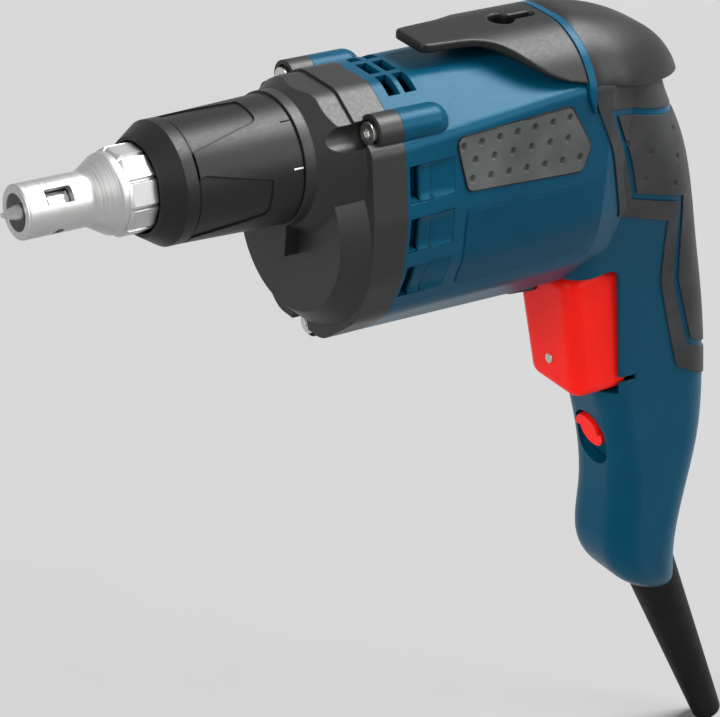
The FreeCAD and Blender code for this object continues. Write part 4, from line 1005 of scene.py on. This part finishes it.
class DRIVER_OT_controls(bpy.types.Operator):
    """Coat the trigger and lock button in red"""

    bl_idname = "driver.controls"
    bl_label = "Red controls"

    def execute(self, context):
        colours = context.scene.driver_colours
        coat(red_controls, moulded(
            "red_moulding", colours.control, roughness=0.4, specular=0.1, grain=0.35 * mm, depth=0.02 * mm,
            edge=0.5 * mm, rub=0.05))
        return {"FINISHED"}


class DRIVER_OT_metal(bpy.types.Operator):
    """Coat the nose, its ring, the screws and the drive in their metals"""

    bl_idname = "driver.metal"
    bl_label = "Metal pieces"

    def execute(self, context):
        colours = context.scene.driver_colours
        coat(("nose_stop",), turned_metal(
            "satin_nose", colours.nose, roughness=0.42, lines=2200.0, edge=0.35 * mm))
        coat(("stop_ring",), turned_metal(
            "brushed_ring", shade(colours.nose, ring_share), roughness=0.46, lines=3200.0, edge=0.12 * mm))
        coat(plated_screws, plain_metal("plated_steel", colours.plating, roughness=0.28, grain=0.3 * mm))
        coat(hard_steels, turned_metal(
            "hard_steel", colours.steel, roughness=0.3, lines=2600.0, edge=0.2 * mm))
        coat(bearings, plain_metal("bearing_bronze", colours.bronze, roughness=0.34, grain=0.4 * mm))
        coat(plate_stacks, stacked_plates("stacked_steel", colours.stack))
        coat(windings, wound_wire("copper_wire", colours.wire))
        coat(("commutator",), turned_metal(
            "turned_copper", colours.copper, roughness=0.3, lines=1800.0, edge=0.2 * mm))
        return {"FINISHED"}


class DRIVER_OT_inner(bpy.types.Operator):
    """Coat the mouldings and brushes inside the housing"""

    bl_idname = "driver.inner"
    bl_label = "Inner pieces"

    def execute(self, context):
        colours = context.scene.driver_colours
        coat(inner_mouldings, moulded(
            "inner_moulding", colours.inner, roughness=0.5, specular=0.4, grain=0.4 * mm, depth=0.02 * mm,
            edge=0.3 * mm, rub=0.1))
        coat(carbons, moulded(
            "pressed_carbon", colours.carbon, roughness=0.6, specular=0.3, grain=0.25 * mm, depth=0.02 * mm,
            edge=0.2 * mm, rub=0.3))
        return {"FINISHED"}


class DRIVER_OT_stage(bpy.types.Operator):
    """Set the camera, the lamps, the room light and the floor"""

    bl_idname = "driver.stage"
    bl_label = "Stage"

    def execute(self, context):
        scene = context.scene
        stage = scene.driver_stage
        scene.view_settings.view_transform = "Standard"
        lens = bpy.data.cameras.new("photo_camera")
        lens.lens = stage.lens
        lens.sensor_width = stage.sensor
        lens.sensor_fit = "HORIZONTAL"
        lens.clip_start = stage.near_clip
        camera = bpy.data.objects.new("photo_camera", lens)
        scene.collection.objects.link(camera)
        turn = Euler((math.pi / 2.0 - stage.elevation, 0.0, stage.azimuth)).to_matrix()
        turn = turn @ Matrix.Rotation(stage.roll, 3, "Z")
        camera.matrix_world = Matrix.Translation(stage.place) @ turn.to_4x4()
        scene.camera = camera
        self.floor(stage)
        self.lamp(scene, "key_light", stage.key_light, stage.side_width, stage.key_from)
        self.lamp(scene, "top_light", stage.top_light, stage.top_width, stage.top_from)
        self.lamp(scene, "side_light", stage.side_light, stage.side_width, stage.side_from)
        self.backdrop(scene, stage)
        return {"FINISHED"}

    def backdrop(self, scene, stage):
        """Even light of the room, which looks paler to the camera and in reflections."""
        world = bpy.data.worlds.new("room")
        world.use_nodes = True
        tree = world.node_tree
        sky = tree.nodes["Background"]
        sky.inputs["Color"].default_value = (1.0, 1.0, 1.0, 1.0)
        rays = tree.nodes.new("ShaderNodeLightPath")
        seen = rays.outputs["Is Camera Ray"]
        for kind in ("Is Glossy Ray", "Is Transmission Ray"):
            either = tree.nodes.new("ShaderNodeMath")
            either.operation = "MAXIMUM"
            tree.links.new(seen, either.inputs[0])
            tree.links.new(rays.outputs[kind], either.inputs[1])
            seen = either.outputs["Value"]
        strength = tree.nodes.new("ShaderNodeMapRange")
        strength.inputs["To Min"].default_value = stage.room
        strength.inputs["To Max"].default_value = stage.backdrop
        tree.links.new(seen, strength.inputs["Value"])
        tree.links.new(strength.outputs["Result"], sky.inputs["Strength"])
        scene.world = world

    def floor(self, stage):
        """Plain pale floor just under the tool."""
        shape = bmesh.new()
        low = cad_box[0][2] - stage.floor_gap
        bmesh.ops.create_grid(shape, x_segments=1, y_segments=1, size=stage.floor_size / 2.0,
                              matrix=Matrix.Translation((stage.floor_middle, 0.0, low)))
        ground = new_object("floor", shape)
        ground.data.materials.append(floor_paint((stage.floor_tone,) * 3))

    def lamp(self, scene, name, strength, width, toward):
        """Soft light from far off, in a direction."""
        light = bpy.data.lights.new(name, "SUN")
        light.angle = width
        light.energy = strength
        lamp = bpy.data.objects.new(name, light)
        scene.collection.objects.link(lamp)
        place = Vector(toward)
        lamp.matrix_world = Matrix.Translation(place) @ place.to_track_quat("Z", "Y").to_matrix().to_4x4()


steps = (
    DRIVER_OT_shells, DRIVER_OT_covers, DRIVER_OT_grips, DRIVER_OT_side_pads, DRIVER_OT_pad_shadow_rims,
    DRIVER_OT_grip_pad, DRIVER_OT_louvres, DRIVER_OT_plate, DRIVER_OT_hook, DRIVER_OT_marks,
    DRIVER_OT_controls, DRIVER_OT_lock_ledge, DRIVER_OT_metal, DRIVER_OT_inner, DRIVER_OT_stage,
)


class DRIVER_PT_steps(bpy.types.Panel):
    """Lists the steps that dress the screwdriver"""

    bl_label = "Drywall screwdriver"
    bl_idname = "DRIVER_PT_steps"
    bl_space_type = "VIEW_3D"
    bl_region_type = "UI"
    bl_category = "Screwdriver"

    def draw(self, context):
        for step in steps:
            self.layout.operator(step.bl_idname)


settings = (DriverColours, DriverDetails, DriverStage)


def register():
    for kind in settings + steps + (DRIVER_PT_steps,):
        bpy.utils.register_class(kind)
    bpy.types.Scene.driver_colours = PointerProperty(type=DriverColours)
    bpy.types.Scene.driver_details = PointerProperty(type=DriverDetails)
    bpy.types.Scene.driver_stage = PointerProperty(type=DriverStage)


def unregister():
    del bpy.types.Scene.driver_stage
    del bpy.types.Scene.driver_details
    del bpy.types.Scene.driver_colours
    for kind in reversed(settings + steps + (DRIVER_PT_steps,)):
        bpy.utils.unregister_class(kind)


def main():
    register()
    bpy.ops.driver.shells()
    bpy.ops.driver.covers()
    bpy.ops.driver.grips()
    bpy.ops.driver.side_pads()
    bpy.ops.driver.pad_seams()
    bpy.ops.driver.grip_pad()
    bpy.ops.driver.louvres()
    bpy.ops.driver.plate()
    bpy.ops.driver.hook()
    bpy.ops.driver.marks()
    bpy.ops.driver.controls()
    bpy.ops.driver.lock_ledge()
    bpy.ops.driver.metal()
    bpy.ops.driver.inner()
    bpy.ops.driver.stage()


if __name__ == "__main__":
    main()
